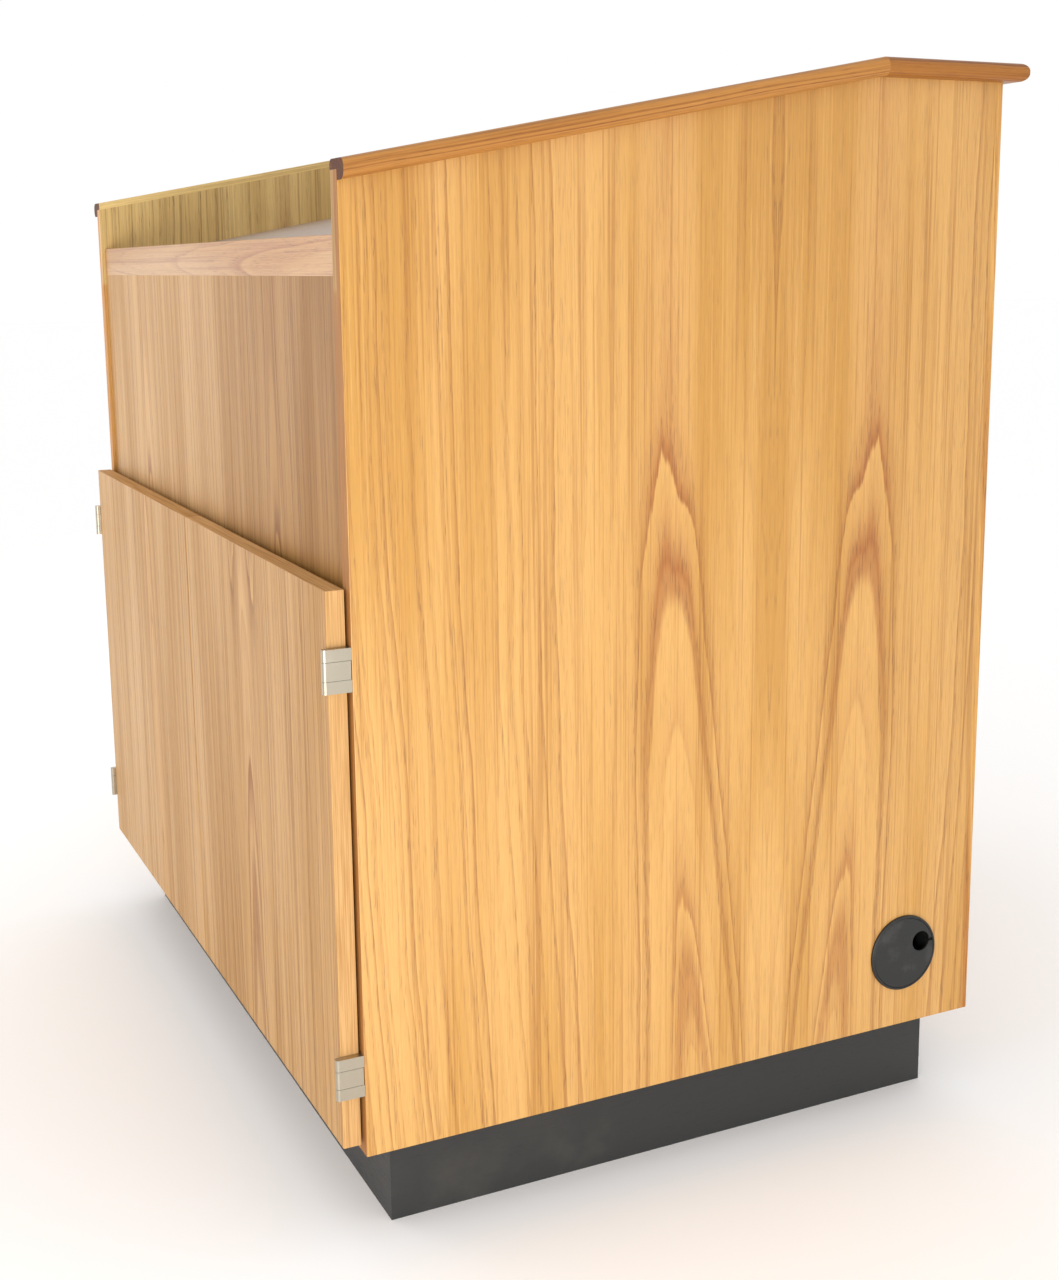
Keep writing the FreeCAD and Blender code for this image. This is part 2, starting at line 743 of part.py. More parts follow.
def make_hinge(place, side, height):
    """One wrap-round hinge that lets its door swing back flat against the side panel."""
    half = dim["hinge_height"] / 2
    half_knuckle = dim["knuckle_height"] / 2
    inner_gap = half_knuckle + dim["knuckle_gap"]
    plate_x = (inner - dim["leaf"]) * side
    frame_leaf = new_body(f"hinge_frame_leaf_{place}", (0, 0, height))
    knuckle_back = front - dim["door_gap"] + dim["knuckle_gap"]
    link(frame_leaf, -half, half, (plate_x, inner * side), (front, front + dim["leaf_length"]))
    for low, high in ((-half, -inner_gap), (inner_gap, half)):
        link(frame_leaf, low, high, (plate_x, half_width * side), (knuckle_back, front))
        knuckle(frame_leaf, side, low, high, door_edge + dim["edge_gap"], knuckle_back)
    round_knuckles(frame_leaf)
    bore_knuckles(frame_leaf, side, -half, half, dim["pin_radius"])
    holes = new_sketch(frame_leaf, "YZ_Plane")
    screw_y = front + dim["leaf_length"] - dim["screw_head"] * 2
    for step in (-0.5, 0.5):
        draw_circle(holes, screw_y, dim["screw_pitch"] * step, dim["screw_hole"])
    pocket(frame_leaf, holes, half_width, backwards=side > 0)
    keep(frame_leaf)

    door_leaf = new_body(f"door_hinge_leaf_{place}", (0, 0, height))
    leaf_edge = (plate_x * side - dim["leaf_clearance"]) * side
    leaf_start = (plate_x * side - dim["leaf_clearance"] - dim["leaf_length"]) * side
    leaf_back = door_back + dim["leaf"]
    link(door_leaf, -half, half, (leaf_start, leaf_edge), (door_back, leaf_back))
    link(door_leaf, -half_knuckle, half_knuckle, (leaf_edge, half_width * side), (door_back, leaf_back))
    knuckle(door_leaf, side, -half_knuckle, half_knuckle, door_edge, door_back)
    round_knuckles(door_leaf)
    bore_knuckles(door_leaf, side, -half, half, dim["pin_radius"] + dim["pin_play"])
    door_holes = new_sketch(door_leaf, "XZ_Plane")
    door_screw_x = leaf_start + dim["screw_head"] * 2 * side
    for step in (-0.5, 0.5):
        draw_circle(door_holes, door_screw_x, dim["screw_pitch"] * step, dim["screw_hole"])
    pocket(door_leaf, door_holes, dim["depth"], backwards=True)
    keep(door_leaf)

    pin = cylinder(
        f"hinge_pin_{place}", dim["pin_radius"], dim["hinge_height"],
        (pin_x * side, pin_y, height - half), "z",
    )
    keep(pin)

    inwards = side_axis(side)
    frame_screws = []
    door_screws = []
    for index, step in enumerate((-0.5, 0.5)):
        level = height + dim["screw_pitch"] * step
        frame_screws.append(screw(
            f"frame_screw_{place}_{index}", (plate_x, screw_y, level),
            inwards, side_axis(-side), dim["screw_bite"],
        ))
        door_screws.append(screw(
            f"door_screw_{place}_{index}", (door_screw_x, leaf_back, level),
            "-y", "y", dim["screw_bite"],
        ))
    return frame_screws, door_screws


def make_doors():
    """Both doors with their hinges, and the screws that hold the hinges."""
    frame_screws = []
    for name, side in SIDES.items():
        make_door(name, side)
        door_screws = []
        for position, height in (("upper", dim["hinge_high"]), ("lower", dim["hinge_low"])):
            in_frame, in_door = make_hinge(f"{name}_{position}", side, height)
            frame_screws += in_frame
            door_screws += in_door
        keep(group(f"hinge_screws_door_{name}", door_screws))
    keep(group("hinge_screws_frame", frame_screws))


def make_catches():
    """Two magnetic catches on the partition, one behind each door."""
    catch_front = door_back + dim["strike"] + dim["catch_gap"]
    height = (dim["catch_low"], dim["catch_low"] + dim["catch_height"])
    for name, side in SIDES.items():
        across = (half_board * side, (half_board + dim["catch_width"]) * side)
        keep(board(f"door_catch_{name}", across, (catch_front, catch_front + dim["catch_length"]), height))


# ---------------------------------------------------------------- cable grommet
def revolve(body, profile):
    """Turn a profile, drawn as (x, radius), about the body's own X axis."""
    sketch = new_sketch(body, "XZ_Plane")
    draw_outline(sketch, profile)
    feature = body.newObject("PartDesign::Revolution", f"{body.Label}_revolution")
    feature.Profile = sketch
    feature.ReferenceAxis = (sketch, ["H_Axis"])
    feature.Angle = 360
    doc.recompute()
    return feature


def make_grommet():
    """A flanged liner in the right side panel, and the cap that turns in it."""
    place = (half_width, front + dim["grommet_y"], dim["grommet_z"])
    bevel = dim["cap_floor"]
    play = dim["cap_play"]
    top = dim["flange_height"]
    sleeve_outer = dim["bore_radius"] - dim["bore_play"]
    sleeve_inner = sleeve_outer - dim["sleeve_wall"]
    liner = new_body("grommet_liner", place)
    revolve(liner, [
        (-dim["sleeve_length"], sleeve_inner),
        (-dim["sleeve_length"], sleeve_outer),
        (0, sleeve_outer),
        (0, dim["flange_radius"]),
        (top - bevel, dim["flange_radius"]),
        (top, dim["flange_radius"] - bevel),
        (top, dim["cap_radius"] + play),
        (dim["cap_floor"], dim["cap_radius"] + play),
        (dim["cap_floor"], sleeve_inner),
    ])
    keep(liner)

    cap_low = dim["cap_floor"] + play
    skirt_outer = sleeve_inner - play
    skirt_inner = skirt_outer - dim["skirt_wall"]
    cap = new_body("grommet_cap", place)
    revolve(cap, [
        (cap_low, 0),
        (cap_low, skirt_inner),
        (cap_low - dim["skirt_length"], skirt_inner),
        (cap_low - dim["skirt_length"], skirt_outer),
        (cap_low, skirt_outer),
        (cap_low, dim["cap_radius"]),
        (top - bevel / 2, dim["cap_radius"]),
        (top, dim["cap_radius"] - bevel / 2),
        (top, 0),
    ])
    hole = new_sketch(cap, "YZ_Plane")
    draw_circle(hole, dim["cable_y"], dim["cable_z"], dim["cable_radius"])
    cut = pocket(cap, hole, dim["sleeve_length"] * 2)
    cut.SideType = "Symmetric"
    relief = new_sketch(cap, "YZ_Plane")
    relief.setExpression("AttachmentOffset.Base.z", cap_low.text)
    draw_circle(relief, dim["cable_y"], dim["cable_z"], dim["cable_radius"] + dim["skirt_wall"])
    pocket(cap, relief, dim["skirt_length"])
    slit = new_sketch(cap, "YZ_Plane")
    wide, narrow = dim["slit_wide"] / 2, dim["slit_narrow"] / 2
    rim = dim["flange_radius"]
    draw_outline(slit, [
        (dim["cable_y"], dim["cable_z"] - wide),
        (rim, dim["cable_z"] - narrow),
        (rim, dim["cable_z"] + narrow),
        (dim["cable_y"], dim["cable_z"] + wide),
    ])
    opened = pocket(cap, slit, dim["sleeve_length"] * 2)
    opened.SideType = "Symmetric"
    keep(cap)


# ---------------------------------------------------------------- fittings in the bays
def make_rack_rail(name, side):
    """A slotted angle for rack equipment: holes in its face, screwed through its side."""
    wall = bay_centre + (bay_centre - half_board) * side
    edge = bay_centre + dim["rack_opening"] / 2 * side
    face = front + dim["rack_front"]
    steel = dim["rail_steel"]
    length = dim["rack_unit"] * dim["rack_units"]
    rail = new_body(f"rack_rail_{name}", (0, 0, dim["rack_low"]))
    plan = new_sketch(rail, "XY_Plane")
    draw_outline(plan, [
        (edge, face),
        (wall, face),
        (wall, face + dim["rail_flange"]),
        (wall - steel * side, face + dim["rail_flange"]),
        (wall - steel * side, face + steel),
        (edge, face + steel),
    ])
    pad(rail, plan, length)
    hole_x = bay_centre + dim["rack_spacing"] / 2 * side
    holes = new_sketch(rail, "XZ_Plane")
    for step in range(3):
        draw_circle(holes, hole_x, dim["rack_first"] + dim["rack_pitch"] * step, dim["rack_hole"])
    first_unit = pocket(rail, holes, dim["depth"], backwards=True)
    units = rail.newObject("PartDesign::LinearPattern", f"{rail.Label}_units")
    units.Originals = [first_unit]
    units.Direction = (holes, ["V_Axis"])
    units.setExpression("Length", (length - dim["rack_unit"]).text)
    units.setExpression("Occurrences", dim["rack_units"].text)
    rail.Tip = units
    doc.recompute()
    side_holes = new_sketch(rail, "YZ_Plane")
    screw_y = face + dim["rail_flange"] - dim["screw_head"] * 2
    for share in RAIL_SCREW_SHARES:
        draw_circle(side_holes, screw_y, length * share, dim["screw_hole"])
    pocket(rail, side_holes, dim["width"], backwards=True)
    keep(rail)
    screws = []
    outwards = side_axis(side)
    for index, share in enumerate(RAIL_SCREW_SHARES):
        place = (wall - steel * side, screw_y, dim["rack_low"] + length * share)
        screws.append(screw(
            f"rail_screw_{name}_{index}", place,
            outwards, side_axis(-side), dim["screw_bite"],
        ))
    return screws


def make_fittings():
    """Rack rails in the right bay; an adjustable shelf on four pegs in the left bay."""
    screws = make_rack_rail("side", 1) + make_rack_rail("partition", -1)
    keep(group("rack_rail_screws", screws))
    shelf_y = front + dim["shelf_front"]
    gap = dim["shelf_play"]
    keep(board(
        "adjustable_shelf", (-inner + gap, -half_board - gap), (shelf_y, shelf_y + dim["shelf_depth"]),
        (dim["shelf_height"], dim["shelf_height"] + dim["board"]),
    ))
    pegs = []
    length = dim["peg_bite"] + dim["peg_reach"]
    for index, (depth, height) in enumerate(peg_places()):
        start = -inner - dim["peg_bite"]
        pegs.append(cylinder(f"peg_side_{index}", dim["peg_radius"], length, (start, depth, height), "x"))
        start = -half_board + dim["peg_bite"]
        pegs.append(cylinder(
            f"peg_partition_{index}", dim["peg_radius"], length, (start, depth, height), "-x",
        ))
    keep(group("shelf_pegs", pegs))


# ---------------------------------------------------------------- build and export
def check_document():
    """Stop if any object failed, or any sub-part is empty or not valid."""
    for item in doc.Objects:
        if "Invalid" in item.State or "Error" in item.State:
            raise RuntimeError(f"{item.Label} failed: {item.State}")
    for item in NODES:
        if item.Shape.isNull() or not item.Shape.isValid():
            raise RuntimeError(f"{item.Label} has no valid shape")
        if not item.Shape.Solids:
            raise RuntimeError(f"{item.Label} holds no solid")


def export():
    """Write one STEP file for each sub-part."""
    os.makedirs("parts", exist_ok=True)
    for item in NODES:
        item.Shape.exportStep(f"parts/{item.Label}.step")
        print(item.Label, len(item.Shape.Solids), round(item.Shape.Volume / 1000, 1))


make_base()
make_carcass()
make_work_surface()
make_top_shelf()
for trim_name, trim_side in SIDES.items():
    make_side_trims(trim_name, trim_side)
make_audience_trim()
make_doors()
make_catches()
make_grommet()
make_fittings()
doc.recompute()
check_document()
export()
print(len(NODES), "sub-parts")
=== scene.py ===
"""Finishes, small fittings, light and camera for the media cabinet."""

import math

import bpy
from mathutils import Matrix, Vector


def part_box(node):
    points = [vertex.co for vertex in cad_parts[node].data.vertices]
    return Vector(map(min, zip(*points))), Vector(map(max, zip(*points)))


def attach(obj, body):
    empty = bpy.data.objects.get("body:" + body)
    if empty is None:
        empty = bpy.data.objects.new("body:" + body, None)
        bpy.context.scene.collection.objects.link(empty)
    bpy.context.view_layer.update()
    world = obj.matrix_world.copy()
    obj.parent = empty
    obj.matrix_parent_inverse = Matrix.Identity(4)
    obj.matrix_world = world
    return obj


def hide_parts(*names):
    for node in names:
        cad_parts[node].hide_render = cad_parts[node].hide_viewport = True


bl_info = {
    "name": "Media cabinet finishes",
    "version": (1, 0, 0),
    "blender": (4, 5, 0),
    "location": "View3D > Sidebar > Cabinet",
    "description": "Finishes and small fittings for a lectern-style media cabinet",
    "category": "Object",
}

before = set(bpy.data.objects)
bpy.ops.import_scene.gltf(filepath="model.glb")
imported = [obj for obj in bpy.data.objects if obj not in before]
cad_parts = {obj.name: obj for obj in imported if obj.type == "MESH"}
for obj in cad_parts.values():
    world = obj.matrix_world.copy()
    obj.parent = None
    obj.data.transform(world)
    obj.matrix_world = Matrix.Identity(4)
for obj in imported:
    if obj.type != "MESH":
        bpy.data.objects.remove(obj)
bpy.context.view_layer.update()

MM = 0.001
SHANK_RADIUS = 1.9 * MM
PLY_THICKNESS = 1.4 * MM
PANEL_TAB = "Cabinet"


def paint(red, green, blue):
    """A display colour, 0 to 255 a channel, as the linear light the shaders use."""
    linear = []
    for channel in (red, green, blue):
        share = channel / 255
        linear.append(share / 12.92 if share <= 0.04045 else ((share + 0.055) / 1.055) ** 2.4)
    return tuple(linear)


# ---------------------------------------------------------------- settings


def colour_choice(name, description, default):
    return bpy.props.FloatVectorProperty(
        name=name, description=description, default=default, subtype="COLOR", size=3, min=0.0, max=1.0
    )


def length_choice(name, description, default):
    return bpy.props.FloatProperty(
        name=name, description=description, default=default, subtype="DISTANCE", unit="LENGTH", min=0.0
    )


def share_choice(name, description, default):
    return bpy.props.FloatProperty(
        name=name, description=description, default=default, subtype="FACTOR", min=0.0, max=1.0
    )


def number_choice(name, description, default, **kind):
    return bpy.props.FloatProperty(name=name, description=description, default=default, **kind)


def angle_choice(name, description, degrees):
    return number_choice(name, description, math.radians(degrees), unit="ROTATION")


class CabinetVeneer(bpy.types.PropertyGroup):
    """Tones of the oak and the size of its figure."""

    side_light: colour_choice("Side, light", "Pale early wood of the side panels", paint(213, 163, 93))
    side_mid: colour_choice("Side, body", "Body colour of the side panels", paint(192, 139, 60))
    side_dark: colour_choice("Side, line", "Late-wood lines of the side panels", paint(152, 92, 24))
    side_flame: colour_choice("Side, flame", "Tips of the arches on the side panels", paint(161, 86, 30))
    front_light: colour_choice("Front, light", "Pale streaks of doors and upper panel", paint(212, 168, 112))
    front_mid: colour_choice("Front, body", "Body colour of doors and upper panel", paint(191, 146, 90))
    front_dark: colour_choice("Front, line", "Late-wood lines of doors and upper panel", paint(146, 98, 48))
    front_flame: colour_choice(
        "Front, flame", "Tips of the arches on doors and upper panel", paint(158, 96, 48)
    )
    inner_light: colour_choice(
        "Inside, light", "Pale streaks of the side panels' inner faces", paint(230, 198, 130)
    )
    inner_mid: colour_choice(
        "Inside, body", "Body colour of the side panels' inner faces", paint(204, 168, 100)
    )
    inner_dark: colour_choice(
        "Inside, line", "Late-wood lines of the side panels' inner faces", paint(138, 102, 50)
    )
    rail_light: colour_choice("Rail, light", "Pale wood of the pencil rail", paint(198, 155, 105))
    rail_mid: colour_choice("Rail, body", "Body colour of the pencil rail", paint(185, 137, 86))
    rail_dark: colour_choice("Rail, line", "Lines of the pencil rail", paint(150, 88, 52))
    solid_light: colour_choice("Trim, light", "Pale streaks of the solid trim", paint(196, 139, 70))
    solid_mid: colour_choice("Trim, body", "Body colour of the solid trim", paint(164, 105, 42))
    solid_dark: colour_choice("Trim, line", "Dark streaks of the solid trim", paint(118, 63, 20))
    level_light: colour_choice("Level trim, light", "Pale streaks of the level trim", paint(172, 112, 46))
    level_mid: colour_choice("Level trim, body", "Body colour of the level trim", paint(146, 86, 28))
    level_dark: colour_choice("Level trim, line", "Dark streaks of the level trim", paint(106, 54, 16))
    end_grain: colour_choice("End grain", "Sawn ends of solid oak", paint(74, 34, 14))
    # Painted shade: the tint multiplied into the veneer where the light falls off across a board.
    painted_shade_tint: colour_choice("Ripened", "Tint of veneer that daylight has darkened", (0.6, 0.5, 0.3))
    ring_width: length_choice("Ring width", "Width of one year's growth across the veneer", 3.6 * MM)
    heart_depth: length_choice("Heart depth", "How far below the cut the tree's centre lies", 290 * MM)
    arch_rise: share_choice(
        "Arch rise", "Slope of the rings along the grain, which sets the arches' length", 0.022
    )
    pore_strength: share_choice("Pores", "How dark the open pores are", 0.35)
    lacquer_roughness: share_choice("Lacquer roughness", "Roughness of the satin lacquer", 0.42)
    bare_roughness: share_choice("Bare roughness", "Roughness of sawn ends and board edges", 0.65)
    lacquer_coat: share_choice("Lacquer", "How thick the satin lacquer lies", 0.25)


class CabinetFittings(bpy.types.PropertyGroup):
    """Finishes of laminate, metal and plastic, and the sizes of the screws."""

    black_laminate: colour_choice("Base laminate", "Colour of the black base", (0.022, 0.022, 0.021))
    base_dust: share_choice("Base dust", "How much pale dust lies on the base", 0.12)
    grey_laminate: colour_choice("Work surface", "Colour of the laminate on the slope", paint(168, 148, 132))
    nickel: colour_choice("Hinge nickel", "Colour of the satin nickel", (0.47, 0.42, 0.33))
    zinc: colour_choice("Zinc", "Colour of screws and plates", (0.6, 0.61, 0.63))
    plastic: colour_choice("Black plastic", "Colour of grommet and catches", (0.01, 0.0105, 0.0098))
    recess_width: length_choice("Recess width", "Width across a screw's cross recess", 3.9 * MM)
    recess_slot: length_choice("Recess slot", "Width of one arm of the cross recess", 0.85 * MM)
    recess_depth: length_choice("Recess depth", "Depth of the cross recess", 1.3 * MM)


class CabinetStage(bpy.types.PropertyGroup):
    """Floor, light and camera."""

    floor_colour: colour_choice("Floor", "Colour of the plain floor", (1.0, 1.0, 1.0))
    floor_size: length_choice("Floor size", "Length of the floor's side", 60.0)
    sky_strength: number_choice("Sky", "Strength of the all-round light", 1.0, min=0)
    key_power: number_choice("Key", "Power of the main softbox", 30, unit="POWER")
    fill_power: number_choice("Fill", "Power of the door-side softbox", 12, unit="POWER")
    lens: number_choice("Lens", "Focal length", 46.35, unit="CAMERA")
    stand: bpy.props.FloatVectorProperty(
        name="Camera",
        description="Where the camera stands",
        default=(1.99416, -0.87985, 0.98232),
        subtype="XYZ",
        unit="LENGTH",
    )
    heading: angle_choice("Heading", "Camera's place round the cabinet, from the door side", 64.633)
    tilt: angle_choice("Tilt", "How far the camera looks down", 10.571)
    roll: angle_choice("Roll", "How far the camera leans", -0.613)
    rise: number_choice("Shift", "Vertical shift of the picture", -0.0528)


# ---------------------------------------------------------------- node helpers


class Nodes:
    """Adds nodes to one tree and links them as they are made."""

    def __init__(self, tree):
        self.tree = tree

    def add(self, kind, inputs=None, **settings):
        node = self.tree.nodes.new(kind)
        for name, value in settings.items():
            setattr(node, name, value)
        for socket, value in (inputs or {}).items():
            self.feed(node.inputs[socket], value)
        return node

    def feed(self, socket, value):
        if isinstance(value, bpy.types.NodeSocket):
            self.tree.links.new(value, socket)
        elif socket.type == "RGBA" and len(value) == 3:
            socket.default_value = (*value, 1.0)
        else:
            socket.default_value = value

    def math(self, operation, a, b=0.0, clamp=False):
        node = self.add("ShaderNodeMath", {0: a, 1: b}, operation=operation, use_clamp=clamp)
        return node.outputs[0]

    def times(self, a, b, clamp=False):
        return self.math("MULTIPLY", a, b, clamp)

    def plus(self, a, b):
        return self.math("ADD", a, b)

    def minus(self, a, b):
        return self.math("SUBTRACT", a, b)

    def mix(self, share, first, second, blend="MIX"):
        node = self.add("ShaderNodeMix", data_type="RGBA", blend_type=blend)
        self.feed(node.inputs[0], share)
        self.feed(node.inputs[6], first)
        self.feed(node.inputs[7], second)
        return node.outputs[2]

    def ramp(self, value, low, high, start=0.0, end=1.0, smooth=True):
        node = self.add(
            "ShaderNodeMapRange",
            {"Value": value, "From Min": low, "From Max": high, "To Min": start, "To Max": end},
            interpolation_type="SMOOTHSTEP" if smooth else "LINEAR",
        )
        return node.outputs[0]

    def scaled(self, vector, across, along, through):
        node = self.add("ShaderNodeVectorMath", {0: vector, 1: (across, along, through)}, operation="MULTIPLY")
        return node.outputs[0]

    def noise(self, vector, detail=2.0, roughness=0.5, scale=1.0):
        values = {"Vector": vector, "Scale": scale, "Detail": detail, "Roughness": roughness}
        return self.add("ShaderNodeTexNoise", values).outputs[0]

    def line_noise(self, place, detail):
        values = {"W": place, "Scale": 1.0, "Detail": detail, "Roughness": 0.5}
        return self.add("ShaderNodeTexNoise", values, noise_dimensions="1D").outputs[0]


def new_group(name, inputs, outputs):
    """A shader node group with the named sockets; gives back its node maker, its input and its output node."""
    group = bpy.data.node_groups.new(name, "ShaderNodeTree")
    kinds = {"value": "NodeSocketFloat", "vector": "NodeSocketVector"}
    for direction, sockets in (("INPUT", inputs), ("OUTPUT", outputs)):
        for socket_name, kind in sockets.items():
            group.interface.new_socket(socket_name, in_out=direction, socket_type=kinds[kind])
    nodes = Nodes(group)
    return nodes, nodes.add("NodeGroupInput").outputs, nodes.add("NodeGroupOutput").inputs


# The oak's pattern. Stretches are noise cells to the metre across, along and through the board.
SWAY_STRETCH = (5, 2.4, 5)
RIPPLE_STRETCH = (46, 3.2, 46)
BROAD_STREAKS = (120, 1.3, 120)
NARROW_STREAKS = (430, 2.6, 430)
FIBRE_STRETCH = (1300, 26, 1300)
PORE_STRETCH = (1050, 42, 1050)
DRIFT_STRETCH = (14, 0.9, 14)
TOP_BLEND = 0.12  # height over which the rings stop climbing
TIP_ROUNDING = 4 * MM
TIP_SHARPNESS = 0.03
ARCH_SPREAD = 50 * MM  # distance from the heart at which the rings climb half as much
RIPPLE_SHARE = 0.085  # of the wander
RING_UNEVENNESS = 1.6
LATE_WOOD_FADE = 1.7
LATE_WOOD_ONSET = 0.16  # share of a ring
HEART_REACH, HEART_CORE = 42 * MM, 10 * MM


def grain_group():
    """Growth rings, fibres and pores of oak, from a place in the board given as (across, along, through)."""
    measures = (
        "Seam", "Heart", "Heart Depth", "Rise", "Top Arch", "Ring Width", "Wander", "Seed", "Lean", "Phase",
    )
    patterns = ("Late Wood", "Heart Wood", "Streaks", "Fibres", "Pores", "Drift")
    n, given, out = new_group(
        "Oak grain", {"Place": "vector", **dict.fromkeys(measures, "value")}, dict.fromkeys(patterns, "value")
    )
    place = n.add("ShaderNodeSeparateXYZ", {0: given["Place"]}).outputs
    side = n.math("ABSOLUTE", n.minus(place[0], given["Seam"]))
    depth = n.plus(place[2], given["Seed"])
    leaf = n.add("ShaderNodeCombineXYZ", {0: side, 1: place[1], 2: depth}).outputs[0]
    sway = n.minus(n.noise(n.scaled(leaf, *SWAY_STRETCH)), 0.5)
    # The rings climb most at the heart, and stop climbing above the topmost arch.
    limits = {0: place[1], 1: given["Top Arch"], 2: TOP_BLEND}
    climb = n.add("ShaderNodeMath", limits, operation="SMOOTH_MIN").outputs[0]
    climb = n.minus(climb, given["Top Arch"])
    heart = n.plus(given["Heart"], n.times(climb, given["Lean"]))
    from_heart = n.plus(n.minus(side, heart), n.times(sway, given["Wander"]))
    below = n.plus(place[2], given["Heart Depth"])
    radius = n.math("SQRT", n.plus(n.math("POWER", from_heart, 2.0), n.math("POWER", below, 2.0)))
    # A little of the plain distance from the heart sharpens the arches' tips.
    point = n.math("SQRT", n.plus(n.math("POWER", from_heart, 2.0), TIP_ROUNDING**2))
    radius = n.plus(radius, n.times(point, TIP_SHARPNESS))
    spread = n.math("POWER", n.math("DIVIDE", from_heart, ARCH_SPREAD), 2.0)
    climb = n.math("DIVIDE", n.times(climb, given["Rise"]), n.plus(spread, 1.0))
    ripple = n.minus(n.noise(n.scaled(leaf, *RIPPLE_STRETCH), 4.0, 0.6), 0.5)
    ripple = n.times(ripple, n.times(given["Wander"], RIPPLE_SHARE))
    reach = n.plus(n.plus(radius, climb), ripple)
    ring = n.plus(n.math("DIVIDE", reach, given["Ring Width"]), n.plus(given["Seed"], given["Phase"]))
    uneven = n.line_noise(n.times(ring, 0.9), 2.0)
    turn = n.math("FRACT", n.plus(ring, n.times(uneven, RING_UNEVENNESS)))
    fade = n.math("POWER", n.minus(1.0, turn), LATE_WOOD_FADE)
    edge = n.ramp(turn, 0.0, LATE_WOOD_ONSET)
    weight = n.ramp(n.line_noise(n.times(ring, 0.43), 1.0), 0.42, 0.64, 0.2, 1.0)
    late = n.times(n.times(fade, edge), weight)
    n.feed(out["Late Wood"], late)
    n.feed(out["Heart Wood"], n.ramp(n.math("ABSOLUTE", from_heart), HEART_REACH, HEART_CORE))
    broad = n.noise(n.scaled(leaf, *BROAD_STREAKS), 3.0, 0.55)
    narrow = n.noise(n.scaled(leaf, *NARROW_STREAKS), 2.0, 0.6)
    n.feed(out["Streaks"], n.plus(n.times(broad, 0.4), n.times(narrow, 0.6)))
    n.feed(out["Fibres"], n.noise(n.scaled(leaf, *FIBRE_STRETCH), 2.0, 0.65))
    pits = n.noise(n.scaled(leaf, *PORE_STRETCH), 1.0)
    n.feed(out["Pores"], n.times(n.ramp(pits, 0.56, 0.68), n.ramp(late, 0.0, 0.35, 0.3, 1.0)))
    n.feed(out["Drift"], n.noise(n.scaled(leaf, *DRIFT_STRETCH), 2.0))
    return n.tree


def wear_group():
    """Handling marks for laminate, plastic and metal: a cloud of dust and fine rubs."""
    n, given, out = new_group(
        "Handling wear",
        {"Place": "vector", "Dust Scale": "value", "Rub Scale": "value"},
        {"Dust": "value", "Rubs": "value", "Speckle": "value"},
    )
    cloud = n.noise(given["Place"], 5.0, 0.62, scale=given["Dust Scale"])
    n.feed(out["Dust"], n.ramp(cloud, 0.52, 0.74))
    stretched = n.scaled(given["Place"], 1.0, 1.0, 9.0)
    rub = n.noise(stretched, 3.0, 0.6, scale=given["Rub Scale"])
    n.feed(out["Rubs"], n.ramp(rub, 0.5, 0.75))
    n.feed(out["Speckle"], n.noise(given["Place"], 2.0, 0.5, scale=2600.0))
    return n.tree


# ---------------------------------------------------------------- materials

AXES = {"x": 0, "y": 1, "z": 2}


def new_material(name):
    material = bpy.data.materials.new(name)
    material.use_nodes = True
    material.node_tree.nodes.clear()
    nodes = Nodes(material.node_tree)
    shader = nodes.add("ShaderNodeBsdfPrincipled")
    output = nodes.add("ShaderNodeOutputMaterial")
    material.node_tree.links.new(shader.outputs[0], output.inputs[0])
    return material, nodes, shader


def set_shader(nodes, shader, values):
    for socket, value in values.items():
        nodes.feed(shader.inputs[socket], value)


def bump(nodes, shader, height, strength, distance):
    made = nodes.add("ShaderNodeBump", {"Height": height, "Strength": strength, "Distance": distance})
    nodes.feed(shader.inputs["Normal"], made.outputs[0])


def board_place(nodes, across, along, centre=(0.0, 0.0, 0.0), slope=0.0):
    """The place in the board as (across, along, through), with the board's slope in the YZ plane taken out."""
    coordinates = nodes.add("ShaderNodeTexCoord").outputs
    levelled = nodes.add("ShaderNodeMapping", {"Vector": coordinates["Object"]}, vector_type="TEXTURE")
    levelled.inputs["Location"].default_value = centre
    levelled.inputs["Rotation"].default_value = (slope, 0.0, 0.0)
    parts = nodes.add("ShaderNodeSeparateXYZ", {0: levelled.outputs[0]}).outputs
    turned = nodes.add("ShaderNodeMapping", {"Vector": coordinates["Normal"]}, vector_type="TEXTURE")
    turned.inputs["Rotation"].default_value = (slope, 0.0, 0.0)
    facing = nodes.add("ShaderNodeSeparateXYZ", {0: turned.outputs[0]}).outputs
    through = ({"x", "y", "z"} - {across, along}).pop()
    order = [AXES[across], AXES[along], AXES[through]]
    place = nodes.add("ShaderNodeCombineXYZ", {i: parts[axis] for i, axis in enumerate(order)}).outputs[0]
    directions = [nodes.math("ABSOLUTE", facing[axis]) for axis in order]
    return place, directions


# How far each part of the pattern carries the oak from its body colour.
HEART_PALENESS = 0.6
STREAK_DARKNESS = 0.5
STREAK_PALENESS = 0.6
LINE_DARKNESS = 0.85
TIP_WARMTH = 0.75
FIBRE_SHADES = (0.9, 1.06)
BAND_STRETCH = (11, 11, 620)
ROUGHNESS_DRIFT = (-0.05, 0.06)
COAT_ROUGHNESS = 0.28
SPECULAR_LEVEL = 0.5


